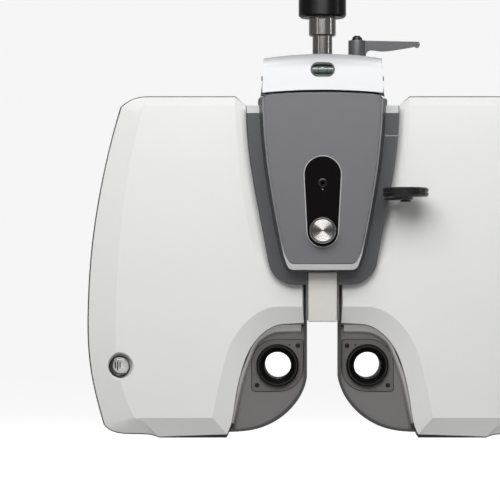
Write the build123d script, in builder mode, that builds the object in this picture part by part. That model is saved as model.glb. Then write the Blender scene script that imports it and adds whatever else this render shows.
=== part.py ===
# Auto phoropter: the head that hangs before the patient's face and changes the test lenses.
#
# Millimetres. +Z is up, -Y is the operator's side (the white covers), +Y the patient's side.
# The origin is the middle of the arm socket's mouth, and the rod that carries the head
# stands on the Z axis. "Depth" values count forward from that axis, towards the operator.
# The left half is modelled and mirrored about the middle plane.

from math import atan2, cos, degrees, hypot, radians, sin
import os

from build123d import *

os.makedirs("parts", exist_ok=True)

# Driving dimensions

# Running and seating clearances
running_gap = 0.05      # shaft in its bore, each side
seat_gap = 0.15         # between pieces that are let into each other
joint_gap = 0.3         # between faces of pieces that move past each other
cut_through = 60.0      # length of cuts that run right through

# Eyes
eye_x = 32.0            # half the pupil distance at rest (64 mm)
eye_z = -284.5
sight_radius = 9.5      # clear opening for the eye
swing_depth = -39.0     # convergence axis, behind the chambers at the patient's eye

# Arm socket, rod and collar
socket_radius = 17.0
socket_height = 35.8
mount_radius = 8.0
mount_depth = 20.0
rod_radius = 7.05
sleeve_radius = 9.65
sleeve_bottom = -49.0
ring_height = 2.0
ring_radius_out = 9.0   # snap ring that holds the rod up in the socket
ring_drop = 4.5         # from the bore's end down to the ring
tilt_z = -85.0          # cross pin
cross_pin_radius = 3.0

# Clamp lever
lever_x = 25.1
lever_y = 9.0
lever_top = -51.3
lever_boss_radius = 6.35
lever_reach = 45.0
lever_thickness = 6.0
lever_shank_radius = 3.0
lever_screw_radius = 2.5
lever_screw_depth = 6.0
lever_screw_head = 3.85

# Yoke and level pivot
level_z = -112.0
level_pin_radius = 4.0
yoke_half_depth = 8.7
fork_wall = 7.0

# Head: cap, panel, casing, flange
cap_front = 52.0
cap_back = 20.0
cap_half_width = 41.5
cap_top = -65.5
cap_shoulder = -68.6
cap_bottom = -91.0
cap_sag = 2.1           # the lower edge hangs down this much at the sides
cap_wall = 2.5
cap_round = 6.2         # rounded upper edge of the cap's front
panel_thickness = 2.4
panel_gap = 0.45        # open line between the panel and its rim
rim_width = 1.0
rim_foot = 4.0          # the rim is this thick along the bottom
panel_foot = -212.9
casing_front = 48.0
casing_flare = 3.5      # the wall flares outward from front to flange
casing_wall = 2.5
flange_back = 33.0
flange_thickness = 3.5
flange_bevel = 1.0
flange_round = 3.0      # rounded upper edge
flange_top = -100.8
flange_foot = -227.4
groove_z = -121.9       # parting line across the right of the flange
bar_half_width = 10.1
bar_notch = 9.0         # the bar reaches up behind the flange's foot
bar_bottom = eye_z + 31.1
bar_thickness = 4.0

# Bubble level, window and knob
vial_z = -76.9
vial_width = 17.0
vial_height = 10.3
vial_rim = 1.1
vial_lip = 1.2
vial_tube = 3.4         # radius of the glass tube
window_top_z = -150.2
window_top_radius = 12.9
window_foot_z = -190.0
window_foot_radius = 10.8
lamp_z = -156.0
lamp_radius = 3.0
knob_z = -189.5
knob_radius = 9.75
knob_front = 58.0
spindle_radius = 3.0

# Level thumbwheel
wheel_x = 58.0
wheel_depth = 52.0
wheel_z = -162.7
wheel_radius = 16.0
wheel_thickness = 6.2
wheel_stem_radius = 2.5

# Chambers
cover_face = 30.0       # flat main face of the white covers
cover_rim = 24.0        # outer edge of the sloping facets
case_front = 20.0       # joint between cover and rear case
case_back = -28.0
shell_wall = 2.0
case_chamfer = 4.0
inner_edge = 11.0       # half the nose gap
nose_reveal = 2.2       # rear case that shows beside the nose bar
chamber_top = -93.4
chamber_foot = eye_z - 51.2
brow_z = eye_z + 30.4   # where the cover's edge meets the nose gap
edge_reveal = 1.2       # rear case that shows outside the cover at the sides
top_reveal = 0.9        # and above and below it
panel_floor = 14.0      # flat of the eye panel
panel_plate = 3.0
channel_width = 3.6     # hollow channel along the cover's edge

# Lens discs
hub_x = -eye_x - 40.8
hub_z = eye_z + 16.5
disc_radius = 58.0
disc_thickness = 3.0
disc_holes = 5
lens_radius = 11.0
lens_thickness = 1.6
hub_radius = 4.0
gear_module = 2.0
gear_teeth = 16
pinion_teeth = 8
gear_width = 4.0
sphere_disc_front = -0.5
cylinder_disc_front = -9.0
motor_radius = 14.0
drive_angle = 135.0     # direction from the hub to the motors

# Rails, screw and carriages
rail_radius = 4.0
rail_y = -4.0
rail_zs = (-128.0, -172.0)
rail_reach = 100.0
screw_radius = 3.0
screw_z = -150.0
pd_motor_radius = 12.0
pd_motor_length = 24.0
carriage_x = -65.0
carriage_half = 12.0
bracket_margin = 4.0
carriage_top = -121.0
carriage_bottom = -179.0
guide_pin_radius = 2.0
guide_pin_reach = 8.0   # pins stand this far from the carriage's middle
bracket_plate = 3.0

# Forehead rest
rest_tube_radius = 6.0
rest_tube_front = 5.0
pad_front = -34.0
pad_back = -50.0
pad_width = 64.0
pad_height = 30.0
pad_z = -214.0

# Head spine and rear cover
spine_back = -20.0
frame_plate = 4.0
frame_plate_back = flange_back + 1.0
rear_back = -24.0
rear_wall = 2.0

# Inlet for the supply and data line
inlet_z = -120.0
inlet_radius = 5.0
inlet_bore = 3.5
inlet_collar = 7.0

# Alignment windows
align_x = -143.6
align_z = eye_z - 0.4
align_radius = 7.3
align_mouth = 10.0

# Eye plate and rings
plate_half = 18.2
plate_thickness = 1.2
plate_corner = 2.0
plate_bend = 17.0
ring_radius = 15.0
ring_front = 19.0
shield_radius = 19.0
shield_depth = -38.0
shield_thickness = 2.5


def facing(depth):
    """Plane that faces the operator, this far in front of the rod's axis."""
    return Plane.XZ.offset(depth)


def save(piece, name):
    """Label a finished piece and write its file."""
    piece.part.label = name
    export_step(piece.part, f"parts/{name}.step")


def save_pair(left, name):
    """Write a piece of the left half and its mirror image."""
    save(left, f"left_{name}")
    with BuildPart() as right:
        mirror(left.part, about=Plane.YZ)
    save(right, f"right_{name}")


# Arm socket: a turned black housing whose bore takes the arm's spigot
with BuildPart() as arm_socket:
    with BuildSketch(Plane.XY.offset(-socket_height)):
        Circle(socket_radius)
    extrude(amount=socket_height)
    chamfer(arm_socket.edges().group_by(Axis.Z)[0], 1.5)
    fillet(arm_socket.edges().group_by(Axis.Z)[-1], 1.0)
    with BuildSketch(Plane.XY):
        Circle(mount_radius)
    extrude(amount=-mount_depth, mode=Mode.SUBTRACT)
    with BuildSketch(Plane.XY):
        Circle(rod_radius + running_gap)
    extrude(amount=-socket_height, mode=Mode.SUBTRACT)
    with BuildSketch(Plane.XY.offset(-mount_depth)):
        Circle(ring_radius_out + joint_gap)
    extrude(amount=-(ring_drop + ring_height + joint_gap), mode=Mode.SUBTRACT)
save(arm_socket, "arm_socket")

# Hanger rod with its cross bore, and the collar and snap ring that hold it in the socket
ring_top = -(mount_depth + ring_drop)
rod_end = tilt_z - 6.5
with BuildPart() as hanger_rod:
    with BuildSketch(Plane.XY.offset(rod_end)):
        Circle(rod_radius)
    extrude(amount=ring_top - rod_end)
    with BuildSketch(Plane.XY.offset(ring_top - ring_height)):
        Circle(ring_radius_out)
    extrude(amount=ring_height)
    chamfer(hanger_rod.edges().group_by(Axis.Z)[0], 1.5)
    with BuildSketch(Plane.YZ.offset(-rod_radius)):
        with Locations((0, tilt_z)):
            Circle(cross_pin_radius)
    extrude(amount=2 * rod_radius, mode=Mode.SUBTRACT)
save(hanger_rod, "hanger_rod")

with BuildPart() as hanger_sleeve:
    with BuildSketch(Plane.XY.offset(sleeve_bottom)):
        Circle(sleeve_radius)
        Circle(rod_radius, mode=Mode.SUBTRACT)
    extrude(amount=-socket_height - joint_gap - sleeve_bottom)
    chamfer(hanger_sleeve.edges().group_by(Axis.Z)[0].sort_by(SortBy.LENGTH)[-1], 0.8)
save(hanger_sleeve, "hanger_sleeve")

ear_inner = 12.0
ear_outer = lever_x + lever_boss_radius
with BuildPart() as cross_pin:
    with BuildSketch(Plane.YZ.offset(-ear_outer)):
        with Locations((0, tilt_z)):
            Circle(cross_pin_radius)
    extrude(amount=2 * ear_outer)
save(cross_pin, "cross_pin")

# Tilt yoke: two ears on the cross pin, the right one split and closed by the lever's screw,
# and a block below that carries the level pivot
ear_radius = 8.0
rod_swing = hypot(tilt_z - rod_end, rod_radius)
yoke_floor = tilt_z - rod_swing - joint_gap - 3.5
ear_floor = tilt_z - 8.5
block_half = 8.0
with BuildPart() as tilt_yoke:
    for half_width, floor_z in ((ear_outer, ear_floor), (ear_inner + 3, yoke_floor)):
        with BuildSketch(Plane.YZ.offset(-half_width)):
            with BuildLine():
                ear_arc = CenterArc((0, tilt_z), ear_radius, 0, 180)
                Polyline(ear_arc @ 1, (-ear_radius, floor_z), (lever_y + 6, floor_z),
                         (lever_y + 6, tilt_z), ear_arc @ 0)
            make_face()
        extrude(amount=2 * half_width)
    with BuildSketch(Plane.YZ.offset(-ear_inner)):
        with Locations((0, tilt_z + ear_radius)):
            Rectangle(60, 2 * (ear_radius + rod_swing + joint_gap))
    extrude(amount=2 * ear_inner, mode=Mode.SUBTRACT)
    with BuildSketch(Plane.YZ.offset(-ear_outer)):
        with Locations((0, tilt_z)):
            Circle(cross_pin_radius + running_gap)
        with Locations((lever_y, tilt_z)):
            Rectangle(2 * lever_y, 1.2)
    extrude(amount=2 * ear_outer, mode=Mode.SUBTRACT)
    with BuildSketch(Plane.XY.offset(ear_floor)):
        with Locations((lever_x, lever_y)):
            Circle(lever_shank_radius + running_gap)
    extrude(amount=30, mode=Mode.SUBTRACT)
    with BuildSketch(facing(-yoke_half_depth)):
        with BuildLine():
            pivot_arc = CenterArc((0, level_z), block_half, 180, 180)
            Polyline(pivot_arc @ 1, (block_half, yoke_floor + 2), (-block_half, yoke_floor + 2),
                     pivot_arc @ 0)
        make_face()
    extrude(amount=2 * yoke_half_depth)
    with BuildSketch(facing(-yoke_half_depth - fork_wall)):
        with Locations((0, level_z)):
            Circle(level_pin_radius)
    extrude(amount=2 * (yoke_half_depth + fork_wall))
save(tilt_yoke, "tilt_yoke")

# Clamp lever: cast arm, tapered boss and shank, with a dome screw on top
ear_top = tilt_z + ear_radius
with BuildPart() as clamp_lever:
    with BuildSketch(Plane.XY.offset(ear_top + joint_gap)):
        with Locations((lever_x, lever_y)):
            Circle(lever_boss_radius)
    extrude(amount=lever_top - ear_top - joint_gap)
    with BuildSketch(facing(-lever_y - lever_thickness / 2)):
        with BuildLine():
            upper = Line((lever_x, lever_top), (lever_x + lever_reach - 1.5, lever_top - 0.9))
            tip = ThreePointArc(upper @ 1, (lever_x + lever_reach, lever_top - 2.2),
                                (lever_x + lever_reach - 3.5, lever_top - 4.2))
            under = Spline(tip @ 1, (lever_x + 29.5, lever_top - 6.3),
                           (lever_x + 14.1, lever_top - 7.2), (lever_x + 9.2, lever_top - 6.9),
                           (lever_x + 6.4, lever_top - 9.5))
            Polyline(under @ 1, (lever_x, lever_top - 9.5), upper @ 0)
        make_face()
    extrude(amount=lever_thickness)
    with BuildSketch(Plane.XY.offset(ear_floor)):
        with Locations((lever_x, lever_y)):
            Circle(lever_shank_radius)
    extrude(amount=ear_top + joint_gap - ear_floor)
    with BuildSketch(Plane.XY.offset(lever_top)):
        with Locations((lever_x, lever_y)):
            Circle(lever_screw_radius)
    extrude(amount=-lever_screw_depth, mode=Mode.SUBTRACT)
save(clamp_lever, "clamp_lever")

with BuildPart() as lever_screw:
    with BuildSketch(Plane(origin=(lever_x, lever_y, 0), x_dir=(1, 0, 0), z_dir=(0, -1, 0))):
        with BuildLine():
            shank = Polyline((0, lever_top - lever_screw_depth),
                             (lever_screw_radius, lever_top - lever_screw_depth),
                             (lever_screw_radius, lever_top), (lever_screw_head, lever_top),
                             (lever_screw_head, lever_top + 1))
            Polyline(shank @ 1, (3.3, lever_top + 2.5), (2.0, lever_top + 3.6),
                     (0, lever_top + 4), shank @ 0)
        make_face()
    revolve(axis=Axis((lever_x, lever_y, 0), (0, 0, 1)))
save(lever_screw, "lever_screw")


# Outlines of the head: panel, rim and casing share one tapered shape
def panel_shape(grow, foot=0.0, top=0.0):
    """Shield outline of the front panel, grown sideways, downward and upward."""
    with BuildSketch(Plane.XY) as shape:
        with BuildLine():
            crown = Spline((0, -91.2 + top), (37.9 + grow, -92.7 + top),
                           tangents=[(1, 0), (1, -0.08)])
            bend = TangentArc(crown @ 1, (41.1 + grow, -96.2 + top), tangent=crown % 1)
            side = Spline(bend @ 1, (40.0 + grow, -121.5), (37.5 + grow, -144.9),
                          (29.5 + grow, -191.8), (27.2 + grow, -203.1))
            heel = Spline(side @ 1, (24.6 + grow * 0.8, panel_foot + 3.4 - foot * 0.7),
                          (19.7 + grow / 2, panel_foot - foot), tangents=[side % 1, (-1, 0)])
            Line(heel @ 1, (0, panel_foot - foot))
            mirror(about=Plane.YZ)
        make_face()
    return shape.sketch


def flange_shape(shrink=0.0):
    """Broad U of the casing's flange, with the notch for the nose bar at its foot."""
    with BuildSketch(Plane.XY) as shape:
        with BuildLine():
            top = Line((0, flange_top), (54.1 - shrink, flange_top))
            side = Spline(top @ 1, (51.0 - shrink, -142.1), (42.1 - shrink, -191.1),
                          (38.4 - shrink, -211.0))
            heel = Spline(side @ 1, (30.7 - shrink * 0.6, flange_foot + 3.9 + shrink * 0.8),
                          (18.2, flange_foot + shrink), tangents=[side % 1, (-1, 0)])
            Line(heel @ 1, (0, flange_foot + shrink))
            mirror(about=Plane.YZ)
        make_face()
    return shape.sketch


def cap_shape(inset):
    """Arched front of the white cap."""
    half = cap_half_width - inset
    with BuildSketch(Plane.XY) as shape:
        with BuildLine():
            arch = ThreePointArc((-half, cap_shoulder - inset), (0, cap_top - inset),
                                 (half, cap_shoulder - inset))
            right = Line(arch @ 1, (half + 0.8, cap_bottom - cap_sag))
            foot = ThreePointArc(right @ 1, (0, cap_bottom), (-half - 0.8, cap_bottom - cap_sag))
            Line(foot @ 1, arch @ 0)
        make_face()
    return shape.sketch


# Head cap: white moulding with a rounded front edge and a window for the level
vial_corner = vial_height / 2 - 0.2
with BuildPart() as head_cap:
    with BuildSketch(facing(cap_back)):
        add(cap_shape(0))
    extrude(amount=cap_front - cap_back)
    front_top = head_cap.faces().sort_by(Axis.Y)[0].edges().sort_by(Axis.Z)[-1]
    fillet(front_top, cap_round)
    with BuildSketch(facing(cap_back)):
        add(cap_shape(cap_wall))
    extrude(amount=cap_front - cap_back - cap_wall, mode=Mode.SUBTRACT)
    with BuildSketch(facing(cap_back)):
        with Locations((0, cap_bottom - 2.4)):
            Rectangle(2 * (cap_half_width - cap_wall), 6)
    extrude(amount=cap_front - cap_back - cap_wall, mode=Mode.SUBTRACT)
    with BuildSketch(facing(cap_back)):
        with Locations((0, vial_z)):
            RectangleRounded(vial_width, vial_height, vial_corner)
    extrude(amount=cap_front - cap_back + 1, mode=Mode.SUBTRACT)
save(head_cap, "head_cap")

# Bubble level: dark bezel let into the cap, and the glass vial behind it
with BuildPart() as vial_bezel:
    with BuildSketch(facing(cap_front - cap_wall - 6)):
        with Locations((0, vial_z)):
            RectangleRounded(vial_width - 2 * seat_gap, vial_height - 2 * seat_gap,
                             vial_corner - seat_gap)
    extrude(amount=cap_wall + 6.2)
    with BuildSketch(facing(cap_front - cap_wall - 8)):
        with Locations((0, vial_z)):
            RectangleRounded(vial_width + 4, vial_height + 4, 3)
    extrude(amount=2)
    with BuildSketch(facing(cap_front + 1)):
        with Locations((0, vial_z)):
            RectangleRounded(vial_width - 2 * vial_rim, vial_height - 2 * vial_rim,
                             vial_corner - vial_rim)
    extrude(amount=-1 - vial_lip, mode=Mode.SUBTRACT)
    with BuildSketch(facing(cap_front - vial_lip)):
        with Locations((0, vial_z)):
            Rectangle(vial_width - 2 * vial_rim, 2 * vial_tube)
    extrude(amount=-cap_wall - 8, mode=Mode.SUBTRACT)
save(vial_bezel, "vial_bezel")

with BuildPart() as level_vial:
    vial_reach = vial_width / 2 - vial_rim - seat_gap
    with BuildSketch(Plane.YZ.offset(-vial_reach)):
        with Locations((vial_lip + vial_tube - 0.3 - cap_front, vial_z)):
            Circle(vial_tube - seat_gap / 2)
    extrude(amount=2 * vial_reach)
save(level_vial, "level_vial")

# Front panel with its tapered window, the light rim round it, and the window plate
with BuildPart() as front_panel:
    with BuildSketch(facing(casing_front)):
        add(panel_shape(-panel_gap, -panel_gap, -1.4))
    extrude(amount=panel_thickness)
    with BuildSketch(facing(casing_front)):
        with Locations((0, window_top_z)):
            Circle(window_top_radius)
        with Locations((0, window_foot_z)):
            Circle(window_foot_radius)
        make_hull()
    extrude(amount=panel_thickness, mode=Mode.SUBTRACT)
save(front_panel, "front_panel")

with BuildPart() as panel_rim:
    with BuildSketch(facing(casing_front)):
        add(panel_shape(rim_width, rim_foot, -0.5))
    extrude(amount=panel_thickness - 0.2)
    with BuildSketch(facing(casing_front)):
        add(panel_shape(0, 0, -1.2))
        with Locations((0, cap_bottom)):
            Rectangle(100, 12)
    extrude(amount=panel_thickness, mode=Mode.SUBTRACT)
save(panel_rim, "panel_rim")

with BuildPart() as window_plate:
    with BuildSketch(facing(casing_front)):
        with Locations((0, window_top_z)):
            Circle(window_top_radius - seat_gap)
        with Locations((0, window_foot_z)):
            Circle(window_foot_radius - seat_gap)
        make_hull()
    extrude(amount=panel_thickness - 0.6)
    with BuildSketch(facing(casing_front)):
        with Locations((0, lamp_z)):
            Circle(lamp_radius + seat_gap)
        with Locations((0, knob_z)):
            Circle(spindle_radius + joint_gap)
    extrude(amount=panel_thickness, mode=Mode.SUBTRACT)
save(window_plate, "window_plate")

with BuildPart() as near_lamp:
    with BuildSketch(facing(casing_front)):
        with Locations((0, lamp_z)):
            Circle(lamp_radius)
    extrude(amount=panel_thickness - 0.5)
save(near_lamp, "near_lamp")

# Centre casing: flared walls from the panel back to a broad flange, notch for the nose bar
# and a bracket for the level wheel
bracket_top = wheel_z - wheel_thickness / 2 - joint_gap
bracket_height = 1.8
flange_front = flange_back + flange_thickness
with BuildPart() as centre_casing:
    with BuildSketch(facing(flange_back)):
        add(flange_shape())
    extrude(amount=flange_thickness - flange_bevel)
    with BuildSketch(facing(flange_front - flange_bevel)):
        add(flange_shape())
    with BuildSketch(facing(flange_front)):
        add(flange_shape(1.2))
    loft(ruled=True)
    with BuildSketch(Plane.YZ.offset(-cut_through)):
        with Locations((flange_round / 2 - flange_front, flange_top - flange_round / 2)):
            Rectangle(flange_round, flange_round)
        with Locations((flange_round - flange_front, flange_top - flange_round)):
            Circle(flange_round, mode=Mode.SUBTRACT)
    extrude(amount=2 * cut_through, mode=Mode.SUBTRACT)
    with BuildSketch(Plane.YZ):
        with Locations((-flange_front, groove_z)):
            Rectangle(1.2, 0.6)
    extrude(amount=cut_through, mode=Mode.SUBTRACT)
    with BuildSketch(facing(casing_front)):
        add(panel_shape(rim_width, rim_foot, -1.6))
    with BuildSketch(facing(flange_back)):
        add(panel_shape(rim_width + casing_flare, rim_foot + 1.5, -1.6))
    loft(ruled=True)
    with BuildSketch(Plane.XY.offset(bracket_top - bracket_height)):
        with Locations((wheel_x, -wheel_depth)):
            Circle(wheel_stem_radius + 2.5)
        with Locations((wheel_x - 12, -flange_back - flange_thickness / 2)):
            Rectangle(6, 2)
        make_hull()
    extrude(amount=bracket_height)
    with BuildSketch(facing(flange_back)):
        add(panel_shape(rim_width - casing_wall, rim_foot - casing_wall, -1.6 - casing_wall))
    extrude(amount=casing_front - flange_back - casing_wall, mode=Mode.SUBTRACT)
    with BuildSketch(facing(flange_back)):
        with Locations((0, cap_bottom - 5)):
            Rectangle(2 * (cap_half_width - cap_wall + seat_gap), 12)
    extrude(amount=frame_plate + 1.0 + seat_gap, mode=Mode.SUBTRACT)
    with BuildSketch(facing(flange_back)):
        with Locations((0, flange_foot)):
            Rectangle(2 * (bar_half_width + 1.3), 2 * bar_notch)
    extrude(amount=flange_thickness + 1, mode=Mode.SUBTRACT)
    with BuildSketch(facing(casing_front)):
        with Locations((0, knob_z)):
            Circle(spindle_radius + joint_gap)
    extrude(amount=-casing_wall, mode=Mode.SUBTRACT)
    with BuildSketch(Plane.XY.offset(bracket_top)):
        with Locations((wheel_x, -wheel_depth)):
            Circle(wheel_stem_radius + running_gap)
    extrude(amount=-bracket_height, mode=Mode.SUBTRACT)
save(centre_casing, "centre_casing")

# Nose bridge bar: the light plate that hangs before the gap between the chambers
bar_top = flange_foot + bar_notch
bar_front = flange_back + bar_thickness + 0.6
with BuildPart() as nose_bar:
    with BuildSketch(facing(bar_front - bar_thickness)):
        with BuildLine():
            Polyline((-bar_half_width, bar_top), (bar_half_width, bar_top),
                     (bar_half_width, bar_bottom), (-bar_half_width, bar_bottom), close=True)
        make_face()
    extrude(amount=bar_thickness)
    chamfer(nose_bar.faces().sort_by(Axis.Y)[0].edges(), 0.5)
save(nose_bar, "nose_bar")

# Forehead rest knob with its screw, and the tube and pad that it moves
tube_bore_end = -29.0
with BuildPart() as forehead_knob:
    with BuildSketch(Plane(origin=(0, 0, knob_z), x_dir=(0, -1, 0), z_dir=(1, 0, 0))):
        with BuildLine():
            rim = Polyline((-16, 0), (-16, spindle_radius), (casing_front + panel_thickness,
                           spindle_radius), (casing_front + panel_thickness, knob_radius - 0.6),
                           (casing_front + panel_thickness + 0.6, knob_radius),
                           (knob_front - 0.8, knob_radius), (knob_front, knob_radius - 0.8))
            Polyline(rim @ 1, (knob_front - 1.2, 0), rim @ 0)
        make_face()
    revolve(axis=Axis((0, 0, knob_z), (0, -1, 0)))
save(forehead_knob, "forehead_knob")

with BuildPart() as forehead_tube:
    with BuildSketch(facing(rest_tube_front)):
        with Locations((0, knob_z)):
            Circle(rest_tube_radius)
    extrude(amount=pad_front - 4 - rest_tube_front)
    with BuildSketch(facing(rest_tube_front)):
        with Locations((0, knob_z)):
            Circle(spindle_radius + running_gap)
    extrude(amount=tube_bore_end - rest_tube_front - joint_gap, mode=Mode.SUBTRACT)
    with BuildSketch(facing(pad_front)):
        with Locations((0, knob_z)):
            Circle(rest_tube_radius)
        with Locations((0, pad_z)):
            Rectangle(2 * rest_tube_radius, 2 * rest_tube_radius)
        make_hull()
    extrude(amount=-4)
save(forehead_tube, "forehead_arm")

with BuildPart() as forehead_pad:
    with BuildSketch(facing(pad_front - 4)):
        with Locations((0, pad_z)):
            RectangleRounded(pad_width, pad_height, pad_height * 0.4)
    extrude(amount=pad_back - pad_front + 4)
    fillet(forehead_pad.faces().sort_by(Axis.Y)[-1].edges(), 4.0)
save(forehead_pad, "forehead_pad")

# Level thumbwheel: black disc with a groove round its edge, on a stem
with BuildPart() as level_wheel:
    with BuildSketch(Plane(origin=(wheel_x, -wheel_depth, 0), x_dir=(1, 0, 0), z_dir=(0, -1, 0))):
        with BuildLine():
            half = wheel_thickness / 2
            Polyline((0, wheel_z + half), (wheel_radius - 1, wheel_z + half),
                     (wheel_radius, wheel_z + half - 1), (wheel_radius, wheel_z + 0.8),
                     (wheel_radius - 0.6, wheel_z), (wheel_radius, wheel_z - 0.8),
                     (wheel_radius, wheel_z - half + 1), (wheel_radius - 1, wheel_z - half),
                     (wheel_stem_radius, wheel_z - half),
                     (wheel_stem_radius, bracket_top - bracket_height - joint_gap),
                     (wheel_stem_radius + 1.2, bracket_top - bracket_height - joint_gap),
                     (wheel_stem_radius + 1.2, bracket_top - bracket_height - 1.5),
                     (0, bracket_top - bracket_height - 1.5), close=True)
        make_face()
    revolve(axis=Axis((wheel_x, -wheel_depth, 0), (0, 0, 1)))
save(level_wheel, "level_wheel")


# Centre frame: a front plate inside the casing and cap, and a tapered spine behind it that
# holds the level pivot, the rails, the screw with its motor and the forehead tube
def spine_shape(inset, top, foot):
    """Tapered column between the two chambers."""
    top_half = 31.0 - inset + (top + 99.0) * 0.154
    foot_half = 31.0 - inset + (foot + 99.0) * 0.154
    with BuildSketch(Plane.XY) as shape:
        with BuildLine():
            Polyline((-top_half, top), (top_half, top), (foot_half, foot), (-foot_half, foot),
                     close=True)
        make_face()
    return shape.sketch


spine_top = -100.0
spine_foot = -205.0
cover_clearance = rear_wall + seat_gap
with BuildPart() as centre_frame:
    with BuildSketch(facing(frame_plate_back)):
        add(panel_shape(rim_width - casing_wall - joint_gap, rim_foot - casing_wall - 0.6,
                        -1.6 - casing_wall - joint_gap))
    extrude(amount=frame_plate)
    with BuildSketch(facing(frame_plate_back)):
        with BuildLine():
            cap_inner = cap_half_width - cap_wall - seat_gap
            arch = ThreePointArc((-cap_inner, cap_shoulder - cap_wall - 0.4),
                                 (0, cap_top - cap_wall - 0.4),
                                 (cap_inner, cap_shoulder - cap_wall - 0.4))
            Polyline(arch @ 1, (cap_inner - 3, spine_top), (3 - cap_inner, spine_top), arch @ 0)
        make_face()
    extrude(amount=frame_plate)
    with BuildSketch(facing(spine_back + 4)):
        add(spine_shape(cover_clearance, spine_top, spine_foot))
    extrude(amount=frame_plate_back - spine_back - 4)
    with BuildSketch(facing(yoke_half_depth + joint_gap)):
        with Locations((0, (spine_top + level_z - block_half) / 2)):
            Rectangle(2 * block_half + 6, spine_top - level_z + block_half + 4)
    extrude(amount=-2 * (yoke_half_depth + joint_gap), mode=Mode.SUBTRACT)
    with BuildSketch(facing(yoke_half_depth + fork_wall + joint_gap)):
        with Locations((0, level_z)):
            Circle(level_pin_radius + running_gap)
    extrude(amount=-2 * (yoke_half_depth + fork_wall + joint_gap), mode=Mode.SUBTRACT)
    with BuildSketch(Plane.YZ.offset(-cut_through)):
        for rail_z in rail_zs:
            with Locations((rail_y, rail_z)):
                Circle(rail_radius + 0.01)
        with Locations((rail_y, screw_z)):
            Circle(screw_radius + running_gap)
    extrude(amount=2 * cut_through, mode=Mode.SUBTRACT)
    with BuildSketch(facing(-rail_y + pd_motor_radius + seat_gap)):
        with Locations((0, screw_z)):
            Rectangle(pd_motor_length + 2 * joint_gap, 2 * (pd_motor_radius + seat_gap))
    extrude(amount=-cut_through, mode=Mode.SUBTRACT)
    with BuildSketch(facing(frame_plate_back + frame_plate)):
        with Locations((0, knob_z)):
            Circle(spindle_radius + running_gap)
    extrude(amount=-(frame_plate_back + frame_plate - rest_tube_front - 8), mode=Mode.SUBTRACT)
    with BuildSketch(facing(rest_tube_front + 8)):
        with Locations((0, knob_z)):
            Circle(rest_tube_radius + running_gap)
    extrude(amount=-cut_through, mode=Mode.SUBTRACT)
save(centre_frame, "centre_frame")

with BuildPart() as guide_rails:
    with BuildSketch(Plane.YZ.offset(-rail_reach)):
        for rail_z in rail_zs:
            with Locations((rail_y, rail_z)):
                Circle(rail_radius)
    extrude(amount=2 * rail_reach)
save(guide_rails, "guide_rails")

with BuildPart() as pd_screw:
    with BuildSketch(Plane.YZ.offset(-rail_reach)):
        with Locations((rail_y, screw_z)):
            Circle(screw_radius)
    extrude(amount=2 * rail_reach)
save(pd_screw, "pd_screw")

with BuildPart() as pd_motor:
    with BuildSketch(Plane.YZ.offset(-pd_motor_length / 2)):
        with Locations((rail_y, screw_z)):
            Circle(pd_motor_radius)
            Circle(screw_radius + running_gap, mode=Mode.SUBTRACT)
    extrude(amount=pd_motor_length)
save(pd_motor, "pd_motor")

# Rear cover of the centre part: wings beside the cap, a column between the chambers,
# a roof with slots for the rod and the clamp lever
wing_foot = -97.5
with BuildPart() as rear_cover:
    with BuildSketch(facing(cap_back - joint_gap)):
        with BuildLine():
            roof = ThreePointArc((-40.5, -70.0), (0, -67.0), (40.5, -70.0))
            Polyline(roof @ 1, (41.9, -76.0), (44.3, wing_foot + 2), (42.3, wing_foot),
                     (-42.3, wing_foot), (-44.3, wing_foot + 2), (-41.9, -76.0), roof @ 0)
        make_face()
    extrude(amount=rear_back - cap_back + joint_gap)
    with BuildSketch(facing(flange_back - joint_gap)):
        add(spine_shape(0, wing_foot - 1.0, spine_foot - rear_wall - 1))
    extrude(amount=rear_back - flange_back + joint_gap)
    with BuildSketch(facing(cap_back - joint_gap)):
        with Locations((0, wing_foot - 0.5)):
            Rectangle(50, 6)
    extrude(amount=rear_back - cap_back + joint_gap)
    chamfer(rear_cover.faces().sort_by(Axis.Y)[-1].edges(), 2.0)
    with BuildSketch(facing(flange_back)):
        add(spine_shape(rear_wall, wing_foot - 1, spine_foot - 1))
    extrude(amount=rear_back + rear_wall - flange_back, mode=Mode.SUBTRACT)
    with BuildSketch(facing(cap_back)):
        with BuildLine():
            roof = ThreePointArc((-38.3, -72.0), (0, -69.0), (38.3, -72.0))
            Polyline(roof @ 1, (40.0, wing_foot + rear_wall), (-40.0, wing_foot + rear_wall),
                     roof @ 0)
        make_face()
    extrude(amount=rear_back + rear_wall - cap_back, mode=Mode.SUBTRACT)
    with BuildSketch(facing(cap_back)):
        with Locations((0, wing_foot)):
            Rectangle(44, 10)
    extrude(amount=rear_back + rear_wall - cap_back, mode=Mode.SUBTRACT)
    with BuildSketch(Plane.XY.offset(cap_top + 5)):
        SlotCenterToCenter(14, 2 * (rod_radius + 3.0), rotation=90)
        with Locations((lever_x, lever_y)):
            Circle(lever_boss_radius + 3.2)
    extrude(amount=-20, mode=Mode.SUBTRACT)
    with BuildSketch(Plane.YZ.offset(-cut_through)):
        for rail_z in rail_zs:
            with Locations((rail_y, rail_z)):
                Circle(rail_radius + joint_gap)
        with Locations((rail_y, screw_z)):
            Circle(screw_radius + joint_gap)
    extrude(amount=2 * cut_through, mode=Mode.SUBTRACT)
    with BuildSketch(facing(0)):
        with Locations((0, knob_z)):
            Circle(rest_tube_radius + running_gap)
        with Locations((0, inlet_z)):
            Circle(inlet_radius)
    extrude(amount=-cut_through, mode=Mode.SUBTRACT)
save(rear_cover, "rear_cover")

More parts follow.
